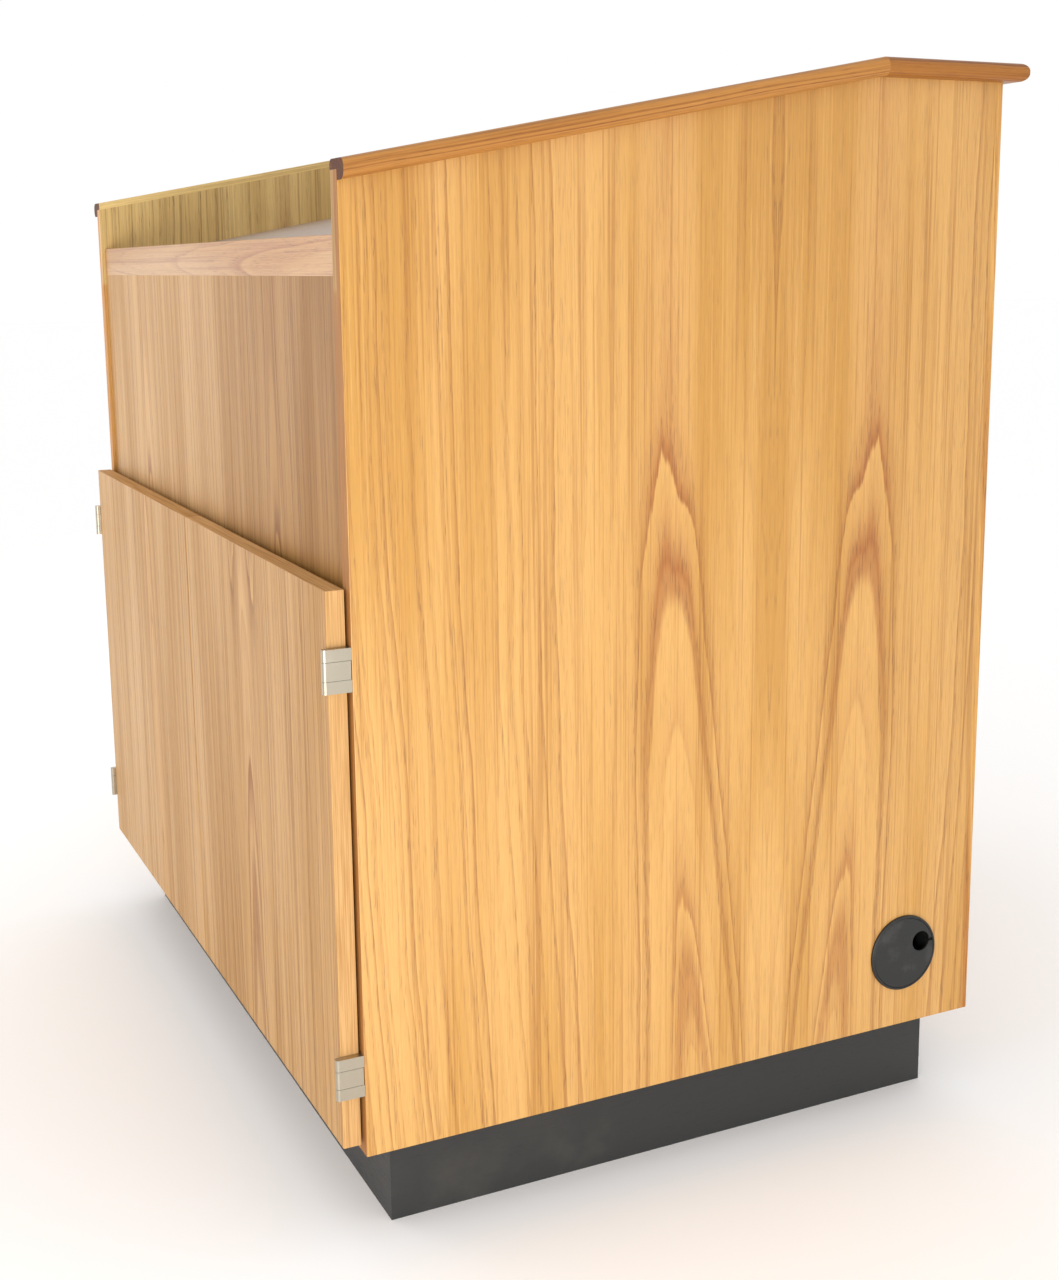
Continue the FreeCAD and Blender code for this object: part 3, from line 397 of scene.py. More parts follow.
def oak(
    name, looks, tones, across, along,
    centre=(0, 0, 0), slope=0.0, solid=False, strength=1.0, gloss=1.0, **figure,
):
    """Lacquered oak. A veneered board gets a strip of edge band on its thin sides, solid oak gets end grain."""
    light, mid, dark, flame, end = tones
    material, n, shader = new_material(name)
    place, (_, to_end, to_face) = board_place(n, across, along, centre, slope)
    if "paled_within" in figure:
        light, mid, dark = paled(n, looks, figure["paled_within"], (light, mid, dark))
    values = {
        "Place": place,
        "Seam": figure.get("seam", 0.0),
        "Heart": figure.get("heart", 0.1),
        "Heart Depth": figure.get("depth", looks.heart_depth),
        "Rise": figure.get("rise", looks.arch_rise),
        "Top Arch": figure.get("top", 2.0),
        "Ring Width": figure.get("rings", looks.ring_width),
        "Wander": figure.get("wander", 0.024),
        "Seed": figure.get("seed", 0.0),
        "Lean": figure.get("lean", 0.0),
        "Phase": figure.get("phase", 0.0),
    }
    grain = n.add("ShaderNodeGroup", node_tree=bpy.data.node_groups["Oak grain"])
    for socket, value in values.items():
        n.feed(grain.inputs[socket], value)
    g = grain.outputs
    body = n.mix(n.ramp(g["Drift"], 0.36, 0.64, 0.05, 0.95), light, mid)
    body = n.mix(n.times(g["Heart Wood"], HEART_PALENESS), body, light)
    body = n.mix(n.times(n.ramp(g["Streaks"], 0.5, 0.68), STREAK_DARKNESS * strength), body, dark)
    body = n.mix(n.times(n.ramp(g["Streaks"], 0.48, 0.32), STREAK_PALENESS * strength), body, light)
    lined = n.mix(n.times(g["Late Wood"], LINE_DARKNESS * strength), body, dark)
    tip = n.times(n.times(g["Late Wood"], g["Heart Wood"]), TIP_WARMTH * strength, clamp=True)
    lined = n.mix(tip, lined, flame)
    fibres = n.ramp(g["Fibres"], 0.25, 0.75, *FIBRE_SHADES, smooth=False)
    shade = n.add("ShaderNodeCombineColor", {channel: fibres for channel in range(3)}).outputs[0]
    lined = n.mix(1.0, lined, shade, "MULTIPLY")
    lined = n.mix(n.times(g["Pores"], looks.pore_strength), lined, end)
    if solid:
        ends = n.mix(n.ramp(g["Late Wood"], 0.0, 0.6), end, n.mix(0.35, end, dark))
        ends = n.mix(n.times(n.ramp(g["Fibres"], 0.5, 0.7), 0.4), ends, mid)
        colour = n.mix(n.ramp(to_end, 0.55, 0.8), lined, ends)
    else:
        streak = n.noise(n.scaled(place, *BAND_STRETCH), 3.0, 0.6)
        band = n.mix(n.ramp(streak, 0.35, 0.7), n.mix(0.4, light, mid), n.mix(0.35, mid, dark))
        # The edge tint multiplies the edge band: painted shade on the right side panel's front edge, a painted
        # highlight on the right door's edge, a slight tint on the left side panel's edge.
        band = n.mix(1.0, band, figure.get("edge", (1.0, 1.0, 1.0)), "MULTIPLY")
        colour = n.mix(n.ramp(to_face, 0.75, 0.6), lined, band)
    if "painted_shade_ramp" in figure:
        # Painted shade: the veneer is darkened towards one edge, or towards a corner when it also climbs, where
        # the light falls off across the board.
        start, end, amount, climb = figure["painted_shade_ramp"]
        parts = n.add("ShaderNodeSeparateXYZ", {0: place}).outputs
        reach = n.plus(parts[0], n.times(parts[1], climb))
        colour = n.mix(n.ramp(reach, start, end, 0.0, amount), colour, looks.painted_shade_tint, "MULTIPLY")
    height = n.plus(n.times(g["Pores"], -1.0), n.times(g["Fibres"], 0.3))
    smoothest, roughest = (looks.lacquer_roughness + step for step in ROUGHNESS_DRIFT)
    rough = n.ramp(g["Drift"], 0.3, 0.7, smoothest, roughest)
    face = n.ramp(to_end, 0.8, 0.55) if solid else n.ramp(to_face, 0.6, 0.75)
    coat = n.times(face, looks.lacquer_coat * gloss)
    rough = n.ramp(face, 0.0, 1.0, looks.bare_roughness, rough)
    set_shader(n, shader, {"Base Color": colour, "Roughness": rough, "Coat Weight": coat})
    set_shader(n, shader, {"Coat Roughness": COAT_ROUGHNESS, "Specular IOR Level": SPECULAR_LEVEL * gloss})
    bump(n, shader, height, 0.25, 0.0002)
    return material


PALE_EDGE = 0.5 * MM
PALE_ABOVE = (0.955, 0.965)  # heights between which the paler tones set in


def paled(n, looks, within, tones):
    """The tones, turned to the paler inside ones above the work surface and within a distance of the middle."""
    sides = n.add("ShaderNodeSeparateXYZ", {0: n.add("ShaderNodeTexCoord").outputs["Object"]}).outputs
    inward = n.ramp(n.math("ABSOLUTE", sides[0]), within + PALE_EDGE, within - PALE_EDGE)
    share = n.times(inward, n.ramp(sides[2], *PALE_ABOVE))
    inner_tones = (looks.inner_light, looks.inner_mid, looks.inner_dark)
    return [n.mix(share, tone, inner) for tone, inner in zip(tones, inner_tones)]


def dress(node_names, material):
    """Gives CAD nodes this material only."""
    for name in node_names:
        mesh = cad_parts[name].data
        mesh.materials.clear()
        mesh.materials.append(material)


def centre_of(node):
    low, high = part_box(node)
    return (low + high) / 2


def trim_slope():
    """The angle of the sloping trims: their rise, less a board's thickness, over their run."""
    low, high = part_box("side_trim_slope_right")
    shelf_low, shelf_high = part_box("top_shelf")
    return math.atan2(high.z - low.z - shelf_high.z + shelf_low.z, high.y - low.y)


SLOPE = trim_slope()
MID_PANEL = 0.5365  # from the cabinet's middle to halfway through a side panel

# Board: tone family, axis across the leaf, axis along the grain, figure of the veneer.
BOARDS = {
    "side_panel_right": (
        "side", "y", "z",
        {
            "seam": 0.092, "heart": 0.131, "lean": 0.05, "top": 0.84, "wander": 0.026, "phase": -2.79,
            # Painted shade towards the top and the audience side, and painted shade on the front edge band.
            "painted_shade_ramp": (0.4, 1.3, 0.16, 1.0), "edge": (0.62, 0.5, 0.43), "paled_within": MID_PANEL,
        },
    ),
    "side_panel_left": (
        "side", "y", "z",
        {
            "seam": 0.05, "heart": 0.15, "seed": 3.7, "top": 1.05,
            "edge": (1.0, 0.9, 1.1), "paled_within": MID_PANEL,
        },
    ),
    "centre_partition": ("side", "y", "z", {"seam": -0.1, "heart": 0.12, "seed": 5.1}),
    "door_right": (
        "front", "x", "z",
        # Painted shade towards +X, and a painted highlight on the edge band.
        {"heart": 0.25, "rise": -0.022, "seed": 1.3, "painted_shade_ramp": (-0.3, 0.55, 0.3, 0.0), "edge": (1.15, 1.2, 1.35)},
    ),
    "door_left": (
        "front", "x", "z",
        # Painted shade towards +X.
        {"seam": -0.02, "heart": 0.2, "seed": 7.9, "painted_shade_ramp": (-0.3, 0.55, 0.3, 0.0)},
    ),
    # Painted shade, at full strength, towards +X.
    "upper_panel": ("front", "x", "z", {"heart": 0.3, "top": 0.9, "seed": 2.6, "painted_shade_ramp": (-0.25, 0.5, 1.0, 0.0)}),
    "audience_panel": ("side", "x", "z", {"seam": 0.0, "heart": 0.16, "seed": 4.4}),
    "bottom_panel": ("side", "y", "x", {"seam": -0.1, "heart": 0.14, "seed": 6.2}),
    "adjustable_shelf": ("side", "y", "x", {"seam": -0.06, "heart": 0.13, "seed": 8.3}),
    "riser": ("far", "z", "x", {"seam": 0.9, "heart": 0.02, "seed": 9.6}),
}

# Solid piece: axis across, axis along the grain, whether it lies on the slope.
SOLIDS = {
    "side_trim_slope_right": ("x", "y", True),
    "side_trim_slope_left": ("x", "y", True),
    "side_trim_level_right": ("x", "y", False),
    "side_trim_level_left": ("x", "y", False),
    "audience_trim": ("y", "x", False),
    "corner_strip_right": ("y", "z", False),
    "corner_strip_left": ("y", "z", False),
    "pencil_rail": ("z", "x", False),
}


class CABINET_OT_grain(bpy.types.Operator):
    """Builds the shared grain and wear groups"""

    bl_idname = "cabinet.grain"
    bl_label = "Shared patterns"

    def execute(self, context):
        grain_group()
        wear_group()
        return {"FINISHED"}


class CABINET_OT_boards(bpy.types.Operator):
    """Veneers the panels, doors and shelves, each with its own leaf of oak"""

    bl_idname = "cabinet.boards"
    bl_label = "Veneered boards"

    def execute(self, context):
        looks = context.scene.cabinet_veneer
        tones = {
            "side": (looks.side_light, looks.side_mid, looks.side_dark, looks.side_flame, looks.end_grain),
            "front": (looks.front_light, looks.front_mid, looks.front_dark, looks.front_flame, looks.end_grain),
            "far": (looks.inner_light, looks.inner_mid, looks.inner_dark, looks.side_flame, looks.end_grain),
        }
        for node, (family, across, along, figure) in BOARDS.items():
            gloss, strength = (0.2, 1.25) if family == "front" else (1.0, 1.0)
            material = oak(
                f"Oak veneer {node}", looks, tones[family], across, along,
                gloss=gloss, strength=strength, **figure,
            )
            dress([node], material)
        shelf = oak("Oak veneer top shelf", looks, tones["side"], "y", "x", centre_of("top_shelf"), seed=3.1)
        dress(["top_shelf"], shelf)
        return {"FINISHED"}


class CABINET_OT_solids(bpy.types.Operator):
    """Finishes the trims, the pencil rail and the corner strips in solid oak"""

    bl_idname = "cabinet.solids"
    bl_label = "Solid oak"

    def execute(self, context):
        looks = context.scene.cabinet_veneer
        trim = (looks.solid_light, looks.solid_mid, looks.solid_dark, looks.solid_dark, looks.end_grain)
        rail = (looks.rail_light, looks.rail_mid, looks.rail_dark, looks.rail_dark, looks.end_grain)
        strip = (looks.side_light, looks.side_mid, looks.side_dark, looks.side_flame, looks.end_grain)
        level = (looks.level_light, looks.level_mid, looks.level_dark, looks.level_dark, looks.end_grain)
        families = {"trim": trim, "level": level, "rail": rail, "strip": strip}
        for index, (node, (across, along, sloped)) in enumerate(SOLIDS.items()):
            tones = families[self.family(node)]
            figure = {
                "seam": -3.0, "heart": 2.99, "depth": 0.05,
                "rings": 3.6 * MM, "rise": 0.012, "wander": 0.02,
            }
            if sloped:
                figure["paled_within"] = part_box("side_panel_right")[0].x + 6 * MM
            if node == "pencil_rail":
                figure.update(heart=2.94, depth=0.03, rings=6 * MM, rise=-0.055, wander=0.02)
            material = oak(
                f"Solid oak {node}", looks, tones, across, along, centre_of(node), SLOPE if sloped else 0.0,
                solid=True, gloss=0.5, seed=index * 1.37, **figure,
            )
            dress([node], material)
        return {"FINISHED"}

    def family(self, node):
        if node == "pencil_rail":
            return "rail"
        if "strip" in node:
            return "strip"
        return "trim" if "slope" in node else "level"


class CABINET_OT_base(bpy.types.Operator):
    """Gives the base its black laminate and the hidden boards their plywood"""

    bl_idname = "cabinet.base"
    bl_label = "Base and plywood"

    def execute(self, context):
        fittings = context.scene.cabinet_fittings
        material, n, shader = new_material("Black base laminate")
        place = n.add("ShaderNodeTexCoord").outputs["Object"]
        wear = worn(n, place, 5.0, 60.0)
        low = n.add("ShaderNodeSeparateXYZ", {0: place}).outputs[2]
        near_floor = n.ramp(low, 0.075, 0.0, 0.3, 1.0)
        dust = n.times(n.times(wear["Dust"], near_floor), fittings.base_dust)
        colour = n.mix(dust, fittings.black_laminate, paint(150, 140, 120))
        rough = n.ramp(wear["Rubs"], 0.0, 1.0, 0.5, 0.62)
        set_shader(n, shader, {"Base Color": colour, "Roughness": rough})
        bump(n, shader, wear["Speckle"], 0.3, 0.0002)
        dress([f"toe_board_{side}" for side in ("right", "left", "door_side", "audience_side")], material)
        plywood = plywood_material()
        dress(["base_sleeper", "surface_cleat_left", "surface_cleat_right", "work_surface_core"], plywood)
        return {"FINISHED"}


def worn(n, place, dust_scale, rub_scale):
    wear = n.add("ShaderNodeGroup", node_tree=bpy.data.node_groups["Handling wear"])
    n.feed(wear.inputs["Place"], place)
    n.feed(wear.inputs["Dust Scale"], dust_scale)
    n.feed(wear.inputs["Rub Scale"], rub_scale)
    return wear.outputs


def plywood_material():
    material, n, shader = new_material("Birch plywood")
    place = n.add("ShaderNodeTexCoord").outputs["Object"]
    across = n.add("ShaderNodeSeparateXYZ", {0: place}).outputs
    layers = n.math("PINGPONG", n.plus(across[0], across[2]), PLY_THICKNESS)
    stripe = n.ramp(n.math("DIVIDE", layers, PLY_THICKNESS), 0.35, 0.65)
    fibres = n.noise(n.scaled(place, 260, 9, 260), 3.0, 0.6)
    face = n.mix(n.ramp(fibres, 0.3, 0.7), paint(222, 192, 146), paint(198, 160, 110))
    edge = n.mix(stripe, paint(208, 170, 118), paint(150, 106, 66))
    colour = n.mix(0.35, face, edge)
    set_shader(n, shader, {"Base Color": colour, "Roughness": 0.7})
    bump(n, shader, fibres, 0.3, 0.0003)
    return material


class CABINET_OT_work_surface(bpy.types.Operator):
    """Lays the matt grey laminate on the slope"""

    bl_idname = "cabinet.work_surface"
    bl_label = "Work surface"

    def execute(self, context):
        fittings = context.scene.cabinet_fittings
        material, n, shader = new_material("Grey work surface laminate")
        place = n.add("ShaderNodeTexCoord").outputs["Object"]
        wear = worn(n, place, 4.0, 120.0)
        fleck = n.ramp(n.noise(place, 2.0, 0.6, scale=900.0), 0.35, 0.65)
        body = n.mix(n.times(fleck, 0.3), fittings.grey_laminate, paint(142, 124, 110))
        body = n.mix(n.times(wear["Dust"], 0.15), body, paint(196, 180, 166))
        set_shader(n, shader, {"Base Color": body, "Roughness": n.ramp(wear["Rubs"], 0.0, 1.0, 0.42, 0.55)})
        bump(n, shader, wear["Speckle"], 0.2, 0.0001)
        dress(["work_surface_laminate"], material)
        return {"FINISHED"}


def metal(name, colour, dull, along_z=True):
    """Satin metal, brushed along Z or across it."""
    material, n, shader = new_material(name)
    place = n.add("ShaderNodeTexCoord").outputs["Object"]
    wear = worn(n, place, 40.0, 500.0)
    brushed = n.noise(n.scaled(place, 2500, 2500, 60) if along_z else n.scaled(place, 60, 60, 2500), 2.0, 0.6)
    rough = n.ramp(brushed, 0.3, 0.7, dull - 0.06, dull + 0.06)
    rough = n.plus(rough, n.times(wear["Dust"], 0.12))
    shade = n.mix(n.times(wear["Rubs"], 0.25), colour, tuple(channel * 0.6 for channel in colour))
    set_shader(n, shader, {"Base Color": shade, "Metallic": 1.0, "Roughness": rough})
    bump(n, shader, brushed, 0.15, 0.00005)
    return material


class CABINET_OT_metal(bpy.types.Operator):
    """Finishes hinges, screws, pegs, plates and rack rails"""

    bl_idname = "cabinet.metal"
    bl_label = "Metal fittings"

    def execute(self, context):
        fittings = context.scene.cabinet_fittings
        nickel = metal("Satin nickel", fittings.nickel, 0.36)
        zinc = metal("Zinc plate", fittings.zinc, 0.3, along_z=False)
        names = list(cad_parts)
        dress([name for name in names if "hinge_" in name and "screws" not in name], nickel)
        dress([name for name in names if "screws" in name or name == "shelf_pegs" or "strike" in name], zinc)
        material, n, shader = new_material("Black powder coat")
        place = n.add("ShaderNodeTexCoord").outputs["Object"]
        wear = worn(n, place, 12.0, 300.0)
        peel = n.noise(place, 2.0, 0.5, scale=1400.0)
        colour = n.mix(n.times(wear["Dust"], 0.12), (0.02, 0.02, 0.021), (0.2, 0.19, 0.17))
        set_shader(n, shader, {"Base Color": colour, "Roughness": n.ramp(peel, 0.3, 0.7, 0.42, 0.55)})
        bump(n, shader, peel, 0.4, 0.0002)
        dress(["rack_rail_side", "rack_rail_partition"], material)
        return {"FINISHED"}


class CABINET_OT_plastic(bpy.types.Operator):
    """Finishes the cable grommet, the catches and the bumpers"""

    bl_idname = "cabinet.plastic"
    bl_label = "Plastic and rubber"

    def execute(self, context):
        fittings = context.scene.cabinet_fittings
        material, n, shader = new_material("Matt black plastic")
        place = n.add("ShaderNodeTexCoord").outputs["Object"]
        wear = worn(n, place, 28.0, 220.0)
        marks = n.times(wear["Dust"], 0.14)
        colour = n.mix(marks, fittings.plastic, (0.22, 0.21, 0.2))
        rough = n.plus(n.ramp(wear["Rubs"], 0.0, 1.0, 0.46, 0.6), marks)
        set_shader(n, shader, {"Base Color": colour, "Roughness": rough})
        bump(n, shader, wear["Speckle"], 0.5, 0.0002)
        dress(["grommet_cap", "grommet_liner", "door_catch_right", "door_catch_left"], material)
        rubber, n, shader = new_material("Grey bumper rubber")
        place = n.add("ShaderNodeTexCoord").outputs["Object"]
        wear = worn(n, place, 60.0, 400.0)
        colour = n.mix(wear["Rubs"], (0.34, 0.34, 0.33), (0.24, 0.24, 0.23))
        set_shader(n, shader, {"Base Color": colour, "Roughness": n.ramp(wear["Dust"], 0, 1, 0.55, 0.75)})
        bump(n, shader, wear["Speckle"], 0.2, 0.0001)
        dress(["door_bumpers_right", "door_bumpers_left"], rubber)
        return {"FINISHED"}


# ---------------------------------------------------------------- fittings

CATCH_WALL = 2.2 * MM
CATCH_NOSE = 0.8 * MM  # how far the poles stand out of the housing
POCKET_DEPTH = 9 * MM
CATCH_HOLE_RADIUS = 2.6 * MM
CATCH_HOLE_SHIFT = 9 * MM
POLE_HALF = 1.1 * MM
STRIKE_HOLE = (1.2 * MM, 3.4 * MM, 1.4 * MM)  # small radius, large radius, depth


def start_mesh():
    """Leaves object mode with nothing selected."""
    if bpy.context.object and bpy.context.object.mode != "OBJECT":
        bpy.ops.object.mode_set(mode="OBJECT")
    bpy.ops.object.select_all(action="DESELECT")


def pick_faces(obj, wanted):
    """In edit mode, selects the faces for which wanted(face centre, normal) holds, and no others."""
    bpy.ops.object.mode_set(mode="EDIT")
    bpy.ops.mesh.select_mode(type="FACE")
    bpy.ops.mesh.select_all(action="DESELECT")
    bpy.ops.object.mode_set(mode="OBJECT")
    found = 0
    for face in obj.data.polygons:
        face.select = wanted(face.center, face.normal)
        found += face.select
    if not found:
        raise RuntimeError(f"no face to shape on {obj.name}")
    bpy.ops.object.mode_set(mode="EDIT")


def block(name, low, high, rounding=0.0, segments=3):
    """A block between two corners, its edges rounded and its place in its mesh."""
    start_mesh()
    size = high - low
    bpy.ops.mesh.primitive_cube_add(size=1.0, location=(low + high) / 2, scale=size)
    made = bpy.context.object
    made.name = name
    bpy.ops.object.transform_apply(location=True, rotation=False, scale=True)
    if rounding:
        soften(made, rounding, segments)
    return made


def soften(obj, width, segments):
    bevel = obj.modifiers.new("rounding", "BEVEL")
    bevel.width = width
    bevel.segments = segments
    bevel.limit_method = "ANGLE"
    bevel.angle_limit = math.radians(40)
    apply_modifier(obj, bevel)


def apply_modifier(obj, modifier):
    bpy.context.view_layer.objects.active = obj
    bpy.ops.object.modifier_apply(modifier=modifier.name)


def cut(obj, cutter):
    """Takes the cutter's shape out of obj and throws the cutter away."""
    boolean = obj.modifiers.new("cut", "BOOLEAN")
    boolean.operation = "DIFFERENCE"
    boolean.solver = "EXACT"
    boolean.object = cutter
    apply_modifier(obj, boolean)
    bpy.data.objects.remove(cutter)


def finish_piece(obj, body, material, nodes=()):
    """Smooths a finished piece, gives it its finish and sets it on its body in place of CAD nodes."""
    start_mesh()
    obj.select_set(True)
    bpy.context.view_layer.objects.active = obj
    bpy.ops.object.shade_smooth_by_angle(angle=math.radians(35))
    obj.data.materials.clear()
    obj.data.materials.append(bpy.data.materials[material])
    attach(obj, body)
    if nodes:
        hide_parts(*nodes)


def model_screw(head_radius, head_height, shank_radius, shank_length, fittings):
    """One pan-head wood screw standing on its head's underside, its point down the Z axis."""
    start_mesh()
    bpy.ops.mesh.primitive_cylinder_add(
        vertices=28,
        radius=head_radius,
        depth=head_height,
        location=(0, 0, head_height / 2),
        end_fill_type="NGON",
    )
    screw = bpy.context.object
    screw.name = "screw_pattern"
    bpy.ops.object.transform_apply(location=True, rotation=False, scale=False)
    pick_faces(screw, lambda centre, normal: normal.z > 0.9)
    bpy.ops.mesh.region_to_loop()
    bpy.ops.mesh.bevel(offset=head_height * 0.55, segments=4)
    bpy.ops.object.mode_set(mode="OBJECT")
    pick_faces(screw, lambda centre, normal: normal.z < -0.9)
    bpy.ops.mesh.inset(thickness=head_radius - shank_radius)
    bpy.ops.mesh.extrude_region_move(TRANSFORM_OT_translate={"value": (0, 0, -shank_length * 0.75)})
    bpy.ops.mesh.extrude_region_move(TRANSFORM_OT_translate={"value": (0, 0, -shank_length * 0.25)})
    bpy.ops.transform.resize(value=(0.12, 0.12, 1.0))
    bpy.ops.object.mode_set(mode="OBJECT")
    width, slot, depth = fittings.recess_width / 2, fittings.recess_slot / 2, fittings.recess_depth
    for half_x, half_y in ((width, slot), (slot, width)):
        low = Vector((-half_x, -half_y, head_height - depth))
        high = Vector((half_x, half_y, head_height + depth))
        cutter = block("recess", low, high)
        pick_faces(cutter, lambda centre, normal: normal.z < -0.9)
        bpy.ops.transform.resize(value=(0.45, 0.45, 1.0))
        bpy.ops.object.mode_set(mode="OBJECT")
        cut(screw, cutter)
    return screw


def set_screws(pattern, name, places):
    """Copies of the pattern at (seat, outward direction), joined into one piece."""
    start_mesh()
    for index, (seat, outward) in enumerate(places):
        copy = bpy.data.objects.new(f"{name}_{index}", pattern.data.copy())
        bpy.context.scene.collection.objects.link(copy)
        turn = Vector(outward).to_track_quat("Z", "Y").to_matrix().to_4x4()
        twist = Matrix.Rotation(math.radians(23 + 37 * index), 4, "Z")
        copy.data.transform(Matrix.Translation(seat) @ turn @ twist)
        copy.select_set(True)
        bpy.context.view_layer.objects.active = copy
    bpy.ops.object.join()
    joined = bpy.context.object
    joined.name = name
    return joined


class CABINET_OT_screws(bpy.types.Operator):
    """Models the screws of hinges and rack rails with their cross recesses"""

    bl_idname = "cabinet.screws"
    bl_label = "Screws"

    def execute(self, context):
        fittings = context.scene.cabinet_fittings
        low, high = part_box("hinge_screws_door_right")
        head_radius = (high.x - low.x) / 2
        leaf_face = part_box("hinge_frame_leaf_right_upper")[0].x
        head_height = high.y - self.seat_of_door_screws()
        bite = high.y - head_height - low.y
        pattern = model_screw(head_radius, head_height, SHANK_RADIUS, bite, fittings)
        levels = self.levels(low.z + head_radius)
        for side, sign in (("right", 1), ("left", -1)):
            centre = sign * (low.x + high.x) / 2
            places = [((centre, high.y - head_height, z), (0, 1, 0)) for z in levels]
            screws = set_screws(pattern, f"door_screws_{side}", places)
            finish_piece(screws, f"{side}_door", "Zinc plate", [f"hinge_screws_door_{side}"])
        frame_low, frame_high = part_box("hinge_screws_frame")
        along = (frame_low.y + frame_high.y) / 2
        places = [((sign * leaf_face, along, z), (-sign, 0, 0)) for sign in (1, -1) for z in levels]
        screws = set_screws(pattern, "frame_screws", places)
        finish_piece(screws, "carcass", "Zinc plate", ["hinge_screws_frame"])
        rail_low, rail_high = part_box("rack_rail_screws")
        along = (rail_low.y + rail_high.y) / 2
        bottom, top = rail_low.z + head_radius, rail_high.z - head_radius
        places = []
        for seat, outward in ((rail_high.x - bite, -1), (rail_low.x + bite, 1)):
            places += [((seat, along, z), (outward, 0, 0)) for z in (bottom, (bottom + top) / 2, top)]
        screws = set_screws(pattern, "rail_screws", places)
        finish_piece(screws, "carcass", "Zinc plate", ["rack_rail_screws"])
        bpy.data.objects.remove(pattern)
        return {"FINISHED"}

    def seat_of_door_screws(self):
        """The back face of a door's hinge leaf, on which the screw heads lie."""
        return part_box("door_hinge_leaf_right_upper")[1].y

    def levels(self, lowest):
        """Heights of the screws: two in each hinge leaf, either side of its middle."""
        heights = [centre_of(f"hinge_pin_right_{which}").z for which in ("lower", "upper")]
        pitch = heights[0] - lowest
        return [middle + step for middle in heights for step in (-pitch, pitch)]


class CABINET_OT_catches(bpy.types.Operator):
    """Models the magnetic catches and the strike plates they hold"""

    bl_idname = "cabinet.catches"
    bl_label = "Door catches"

    def execute(self, context):
        for side, sign in (("right", 1), ("left", -1)):
            self.catch(side, sign)
            self.strike(side)
        return {"FINISHED"}

    def catch(self, side, sign):
        low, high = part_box(f"door_catch_{side}")
        nose = Vector((0, CATCH_NOSE, 0))
        housing = block(f"catch_housing_{side}", low + nose, high, 1.2 * MM)
        wall = CATCH_WALL
        pocket_low = low + Vector((wall, -wall, wall * 2))
        pocket_high = Vector((high.x - wall, low.y + POCKET_DEPTH, high.z - wall * 2))
        cut(housing, block("pocket", pocket_low, pocket_high))
        outer = high.x if sign > 0 else low.x
        middle = (low + high) / 2
        for shift in (-CATCH_HOLE_SHIFT, CATCH_HOLE_SHIFT):
            start_mesh()
            bpy.ops.mesh.primitive_cylinder_add(
                vertices=24,
                radius=CATCH_HOLE_RADIUS,
                depth=3 * MM,
                location=(outer, middle.y + 6 * MM, middle.z + shift),
                rotation=(0, math.radians(90), 0),
            )
            cut(housing, bpy.context.object)
        finish_piece(housing, "carcass", "Matt black plastic", [f"door_catch_{side}"])
        plates = []
        for share in (0.3, 0.7):
            x = low.x + (high.x - low.x) * share
            margin = wall * 2 + 1 * MM
            corner = Vector((x - POLE_HALF, low.y, low.z + margin))
            far = Vector((x + POLE_HALF, low.y + 9.2 * MM, high.z - margin))
            plates.append(block(f"pole_{share}", corner, far, 0.3 * MM))
        start_mesh()
        for plate in plates:
            plate.select_set(True)
            bpy.context.view_layer.objects.active = plate
        bpy.ops.object.join()
        poles = bpy.context.object
        poles.name = f"catch_poles_{side}"
        finish_piece(poles, "carcass", "Zinc plate")

    def strike(self, side):
        low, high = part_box(f"strike_plate_{side}")
        plate = block(f"strike_{side}", low, high, 0.5 * MM)
        middle = (low + high) / 2
        start_mesh()
        small, large, depth = STRIKE_HOLE
        bpy.ops.mesh.primitive_cone_add(
            vertices=28,
            radius1=small,
            radius2=large,
            depth=depth,
            location=(middle.x, high.y - 0.5 * MM, middle.z),
            rotation=(math.radians(-90), 0, 0),
        )
        cut(plate, bpy.context.object)
        finish_piece(plate, f"{side}_door", "Zinc plate", [f"strike_plate_{side}"])


# ---------------------------------------------------------------- stage


def aim(obj, target):
    obj.rotation_mode = "QUATERNION"
    obj.rotation_quaternion = (Vector(target) - obj.location).to_track_quat("-Z", "Y")


def softbox(name, location, target, size, power):
    bpy.ops.object.light_add(type="AREA", location=location)
    lamp = bpy.context.object
    lamp.name = name
    lamp.data.shape = "RECTANGLE"
    lamp.data.size, lamp.data.size_y = size
    lamp.data.energy = power
    aim(lamp, target)


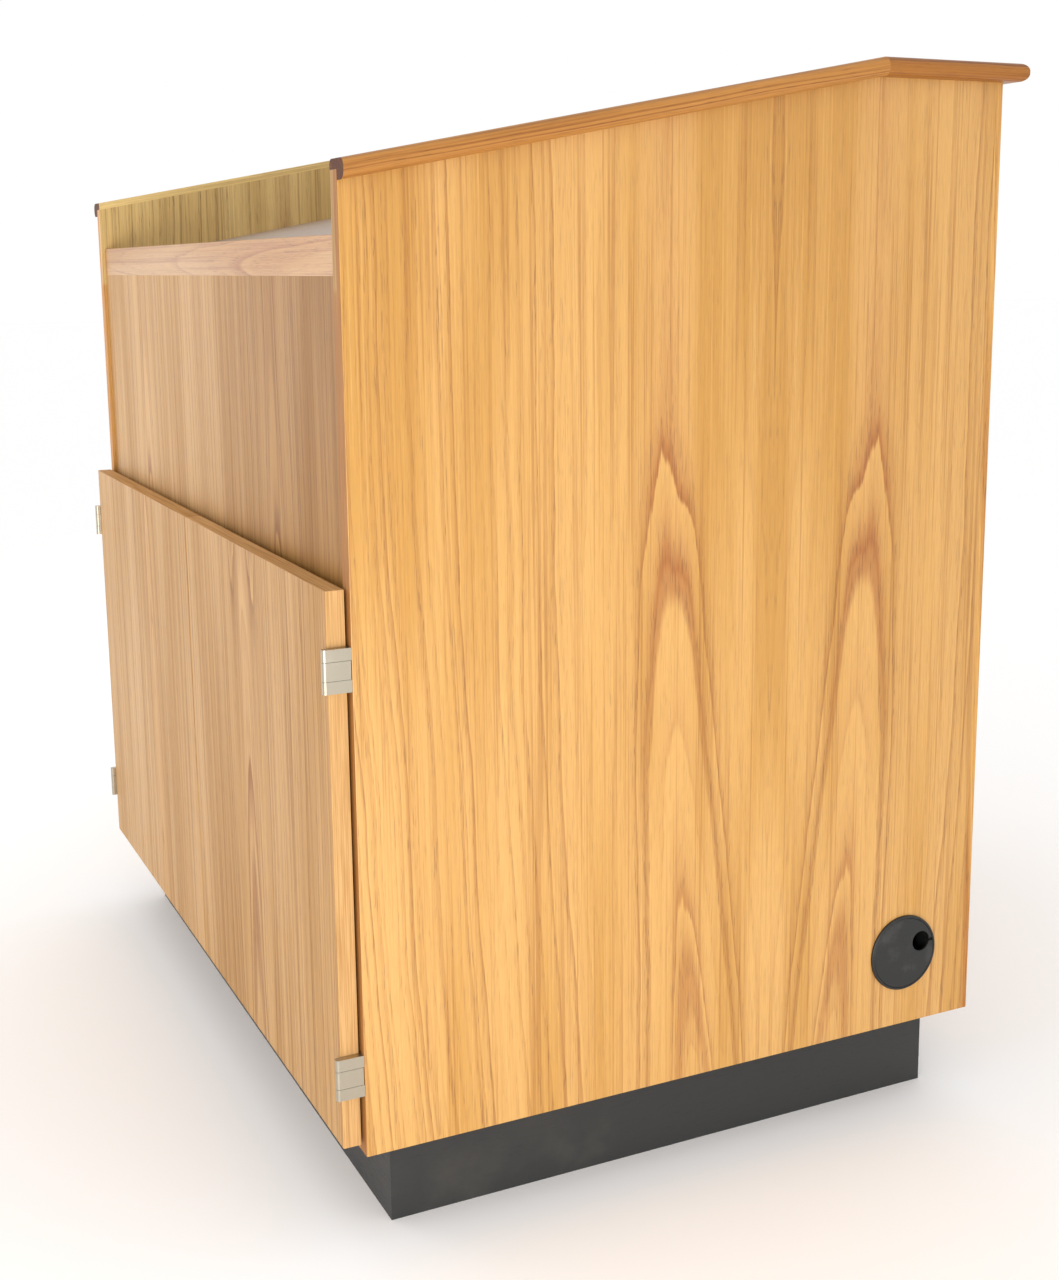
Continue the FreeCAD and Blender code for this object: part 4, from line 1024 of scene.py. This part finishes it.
class CABINET_OT_stage(bpy.types.Operator):
    """Lays the floor, sets the soft light and the camera"""

    bl_idname = "cabinet.stage"
    bl_label = "Stage"

    def execute(self, context):
        stage = context.scene.cabinet_stage
        bpy.ops.object.select_all(action="DESELECT")
        bpy.ops.mesh.primitive_plane_add(size=stage.floor_size)
        floor = context.object
        floor.name = "floor"
        material, n, shader = new_material("Pale floor")
        place = n.add("ShaderNodeTexCoord").outputs["Object"]
        cloud = n.noise(place, 2.0, 0.5, scale=0.8)
        colour = n.mix(n.times(cloud, 0.1), stage.floor_colour, (0.97, 0.97, 0.97))
        set_shader(n, shader, {"Base Color": colour, "Roughness": 0.8, "Specular IOR Level": 0.2})
        floor.data.materials.append(material)
        world = bpy.data.worlds.new("Studio")
        world.use_nodes = True
        sky = world.node_tree.nodes["Background"]
        sky.inputs[0].default_value = (1.0, 1.0, 1.0, 1.0)
        sky.inputs[1].default_value = stage.sky_strength
        context.scene.world = world
        softbox("key", (2.4, -1.25, 0.4), (0.55, -0.3, 0.25), (1.4, 0.7), stage.key_power)
        softbox("fill", (-2.3, -1.9, 1.1), (-0.5, -0.4, 0.6), (1.4, 1.4), stage.fill_power)
        self.set_camera(context, stage)
        context.scene.view_settings.view_transform = "Standard"
        return {"FINISHED"}

    def set_camera(self, context, stage):
        level = math.cos(stage.tilt)
        back = Vector((math.sin(stage.heading) * level, -math.cos(stage.heading) * level, math.sin(stage.tilt)))
        right = Vector((0.0, 0.0, 1.0)).cross(back).normalized()
        up = back.cross(right)
        lean_right = right * math.cos(stage.roll) + up * math.sin(stage.roll)
        lean_up = up * math.cos(stage.roll) - right * math.sin(stage.roll)
        bpy.ops.object.camera_add(location=stage.stand)
        camera = context.object
        camera.name = "camera"
        camera.rotation_mode = "QUATERNION"
        camera.rotation_quaternion = Matrix((lean_right, lean_up, back)).transposed().to_quaternion()
        camera.data.lens = stage.lens
        camera.data.sensor_width = 36.0
        camera.data.shift_y = stage.rise
        camera.data.clip_start = 0.05
        camera.data.clip_end = 200.0
        context.scene.camera = camera


# ---------------------------------------------------------------- panel and start

STEPS = (
    CABINET_OT_grain,
    CABINET_OT_boards,
    CABINET_OT_solids,
    CABINET_OT_base,
    CABINET_OT_work_surface,
    CABINET_OT_metal,
    CABINET_OT_plastic,
    CABINET_OT_screws,
    CABINET_OT_catches,
    CABINET_OT_stage,
)


class CABINET_PT_tools(bpy.types.Panel):
    """Lists the cabinet's steps in the sidebar"""

    bl_idname = "CABINET_PT_tools"
    bl_label = "Media cabinet"
    bl_space_type = "VIEW_3D"
    bl_region_type = "UI"
    bl_category = PANEL_TAB

    def draw(self, context):
        for step in STEPS:
            self.layout.operator(step.bl_idname)
        scene = context.scene
        for settings in (scene.cabinet_veneer, scene.cabinet_fittings, scene.cabinet_stage):
            column = self.layout.column()
            for name in settings.__annotations__:
                column.prop(settings, name)


CLASSES = (CabinetVeneer, CabinetFittings, CabinetStage, *STEPS, CABINET_PT_tools)


def register():
    for each in CLASSES:
        bpy.utils.register_class(each)
    bpy.types.Scene.cabinet_veneer = bpy.props.PointerProperty(type=CabinetVeneer)
    bpy.types.Scene.cabinet_fittings = bpy.props.PointerProperty(type=CabinetFittings)
    bpy.types.Scene.cabinet_stage = bpy.props.PointerProperty(type=CabinetStage)


def unregister():
    del bpy.types.Scene.cabinet_veneer
    del bpy.types.Scene.cabinet_fittings
    del bpy.types.Scene.cabinet_stage
    for each in reversed(CLASSES):
        bpy.utils.unregister_class(each)


def main():
    register()
    bpy.ops.cabinet.grain()
    bpy.ops.cabinet.boards()
    bpy.ops.cabinet.solids()
    bpy.ops.cabinet.base()
    bpy.ops.cabinet.work_surface()
    bpy.ops.cabinet.metal()
    bpy.ops.cabinet.plastic()
    bpy.ops.cabinet.screws()
    bpy.ops.cabinet.catches()
    bpy.ops.cabinet.stage()


if __name__ == "__main__":
    main()
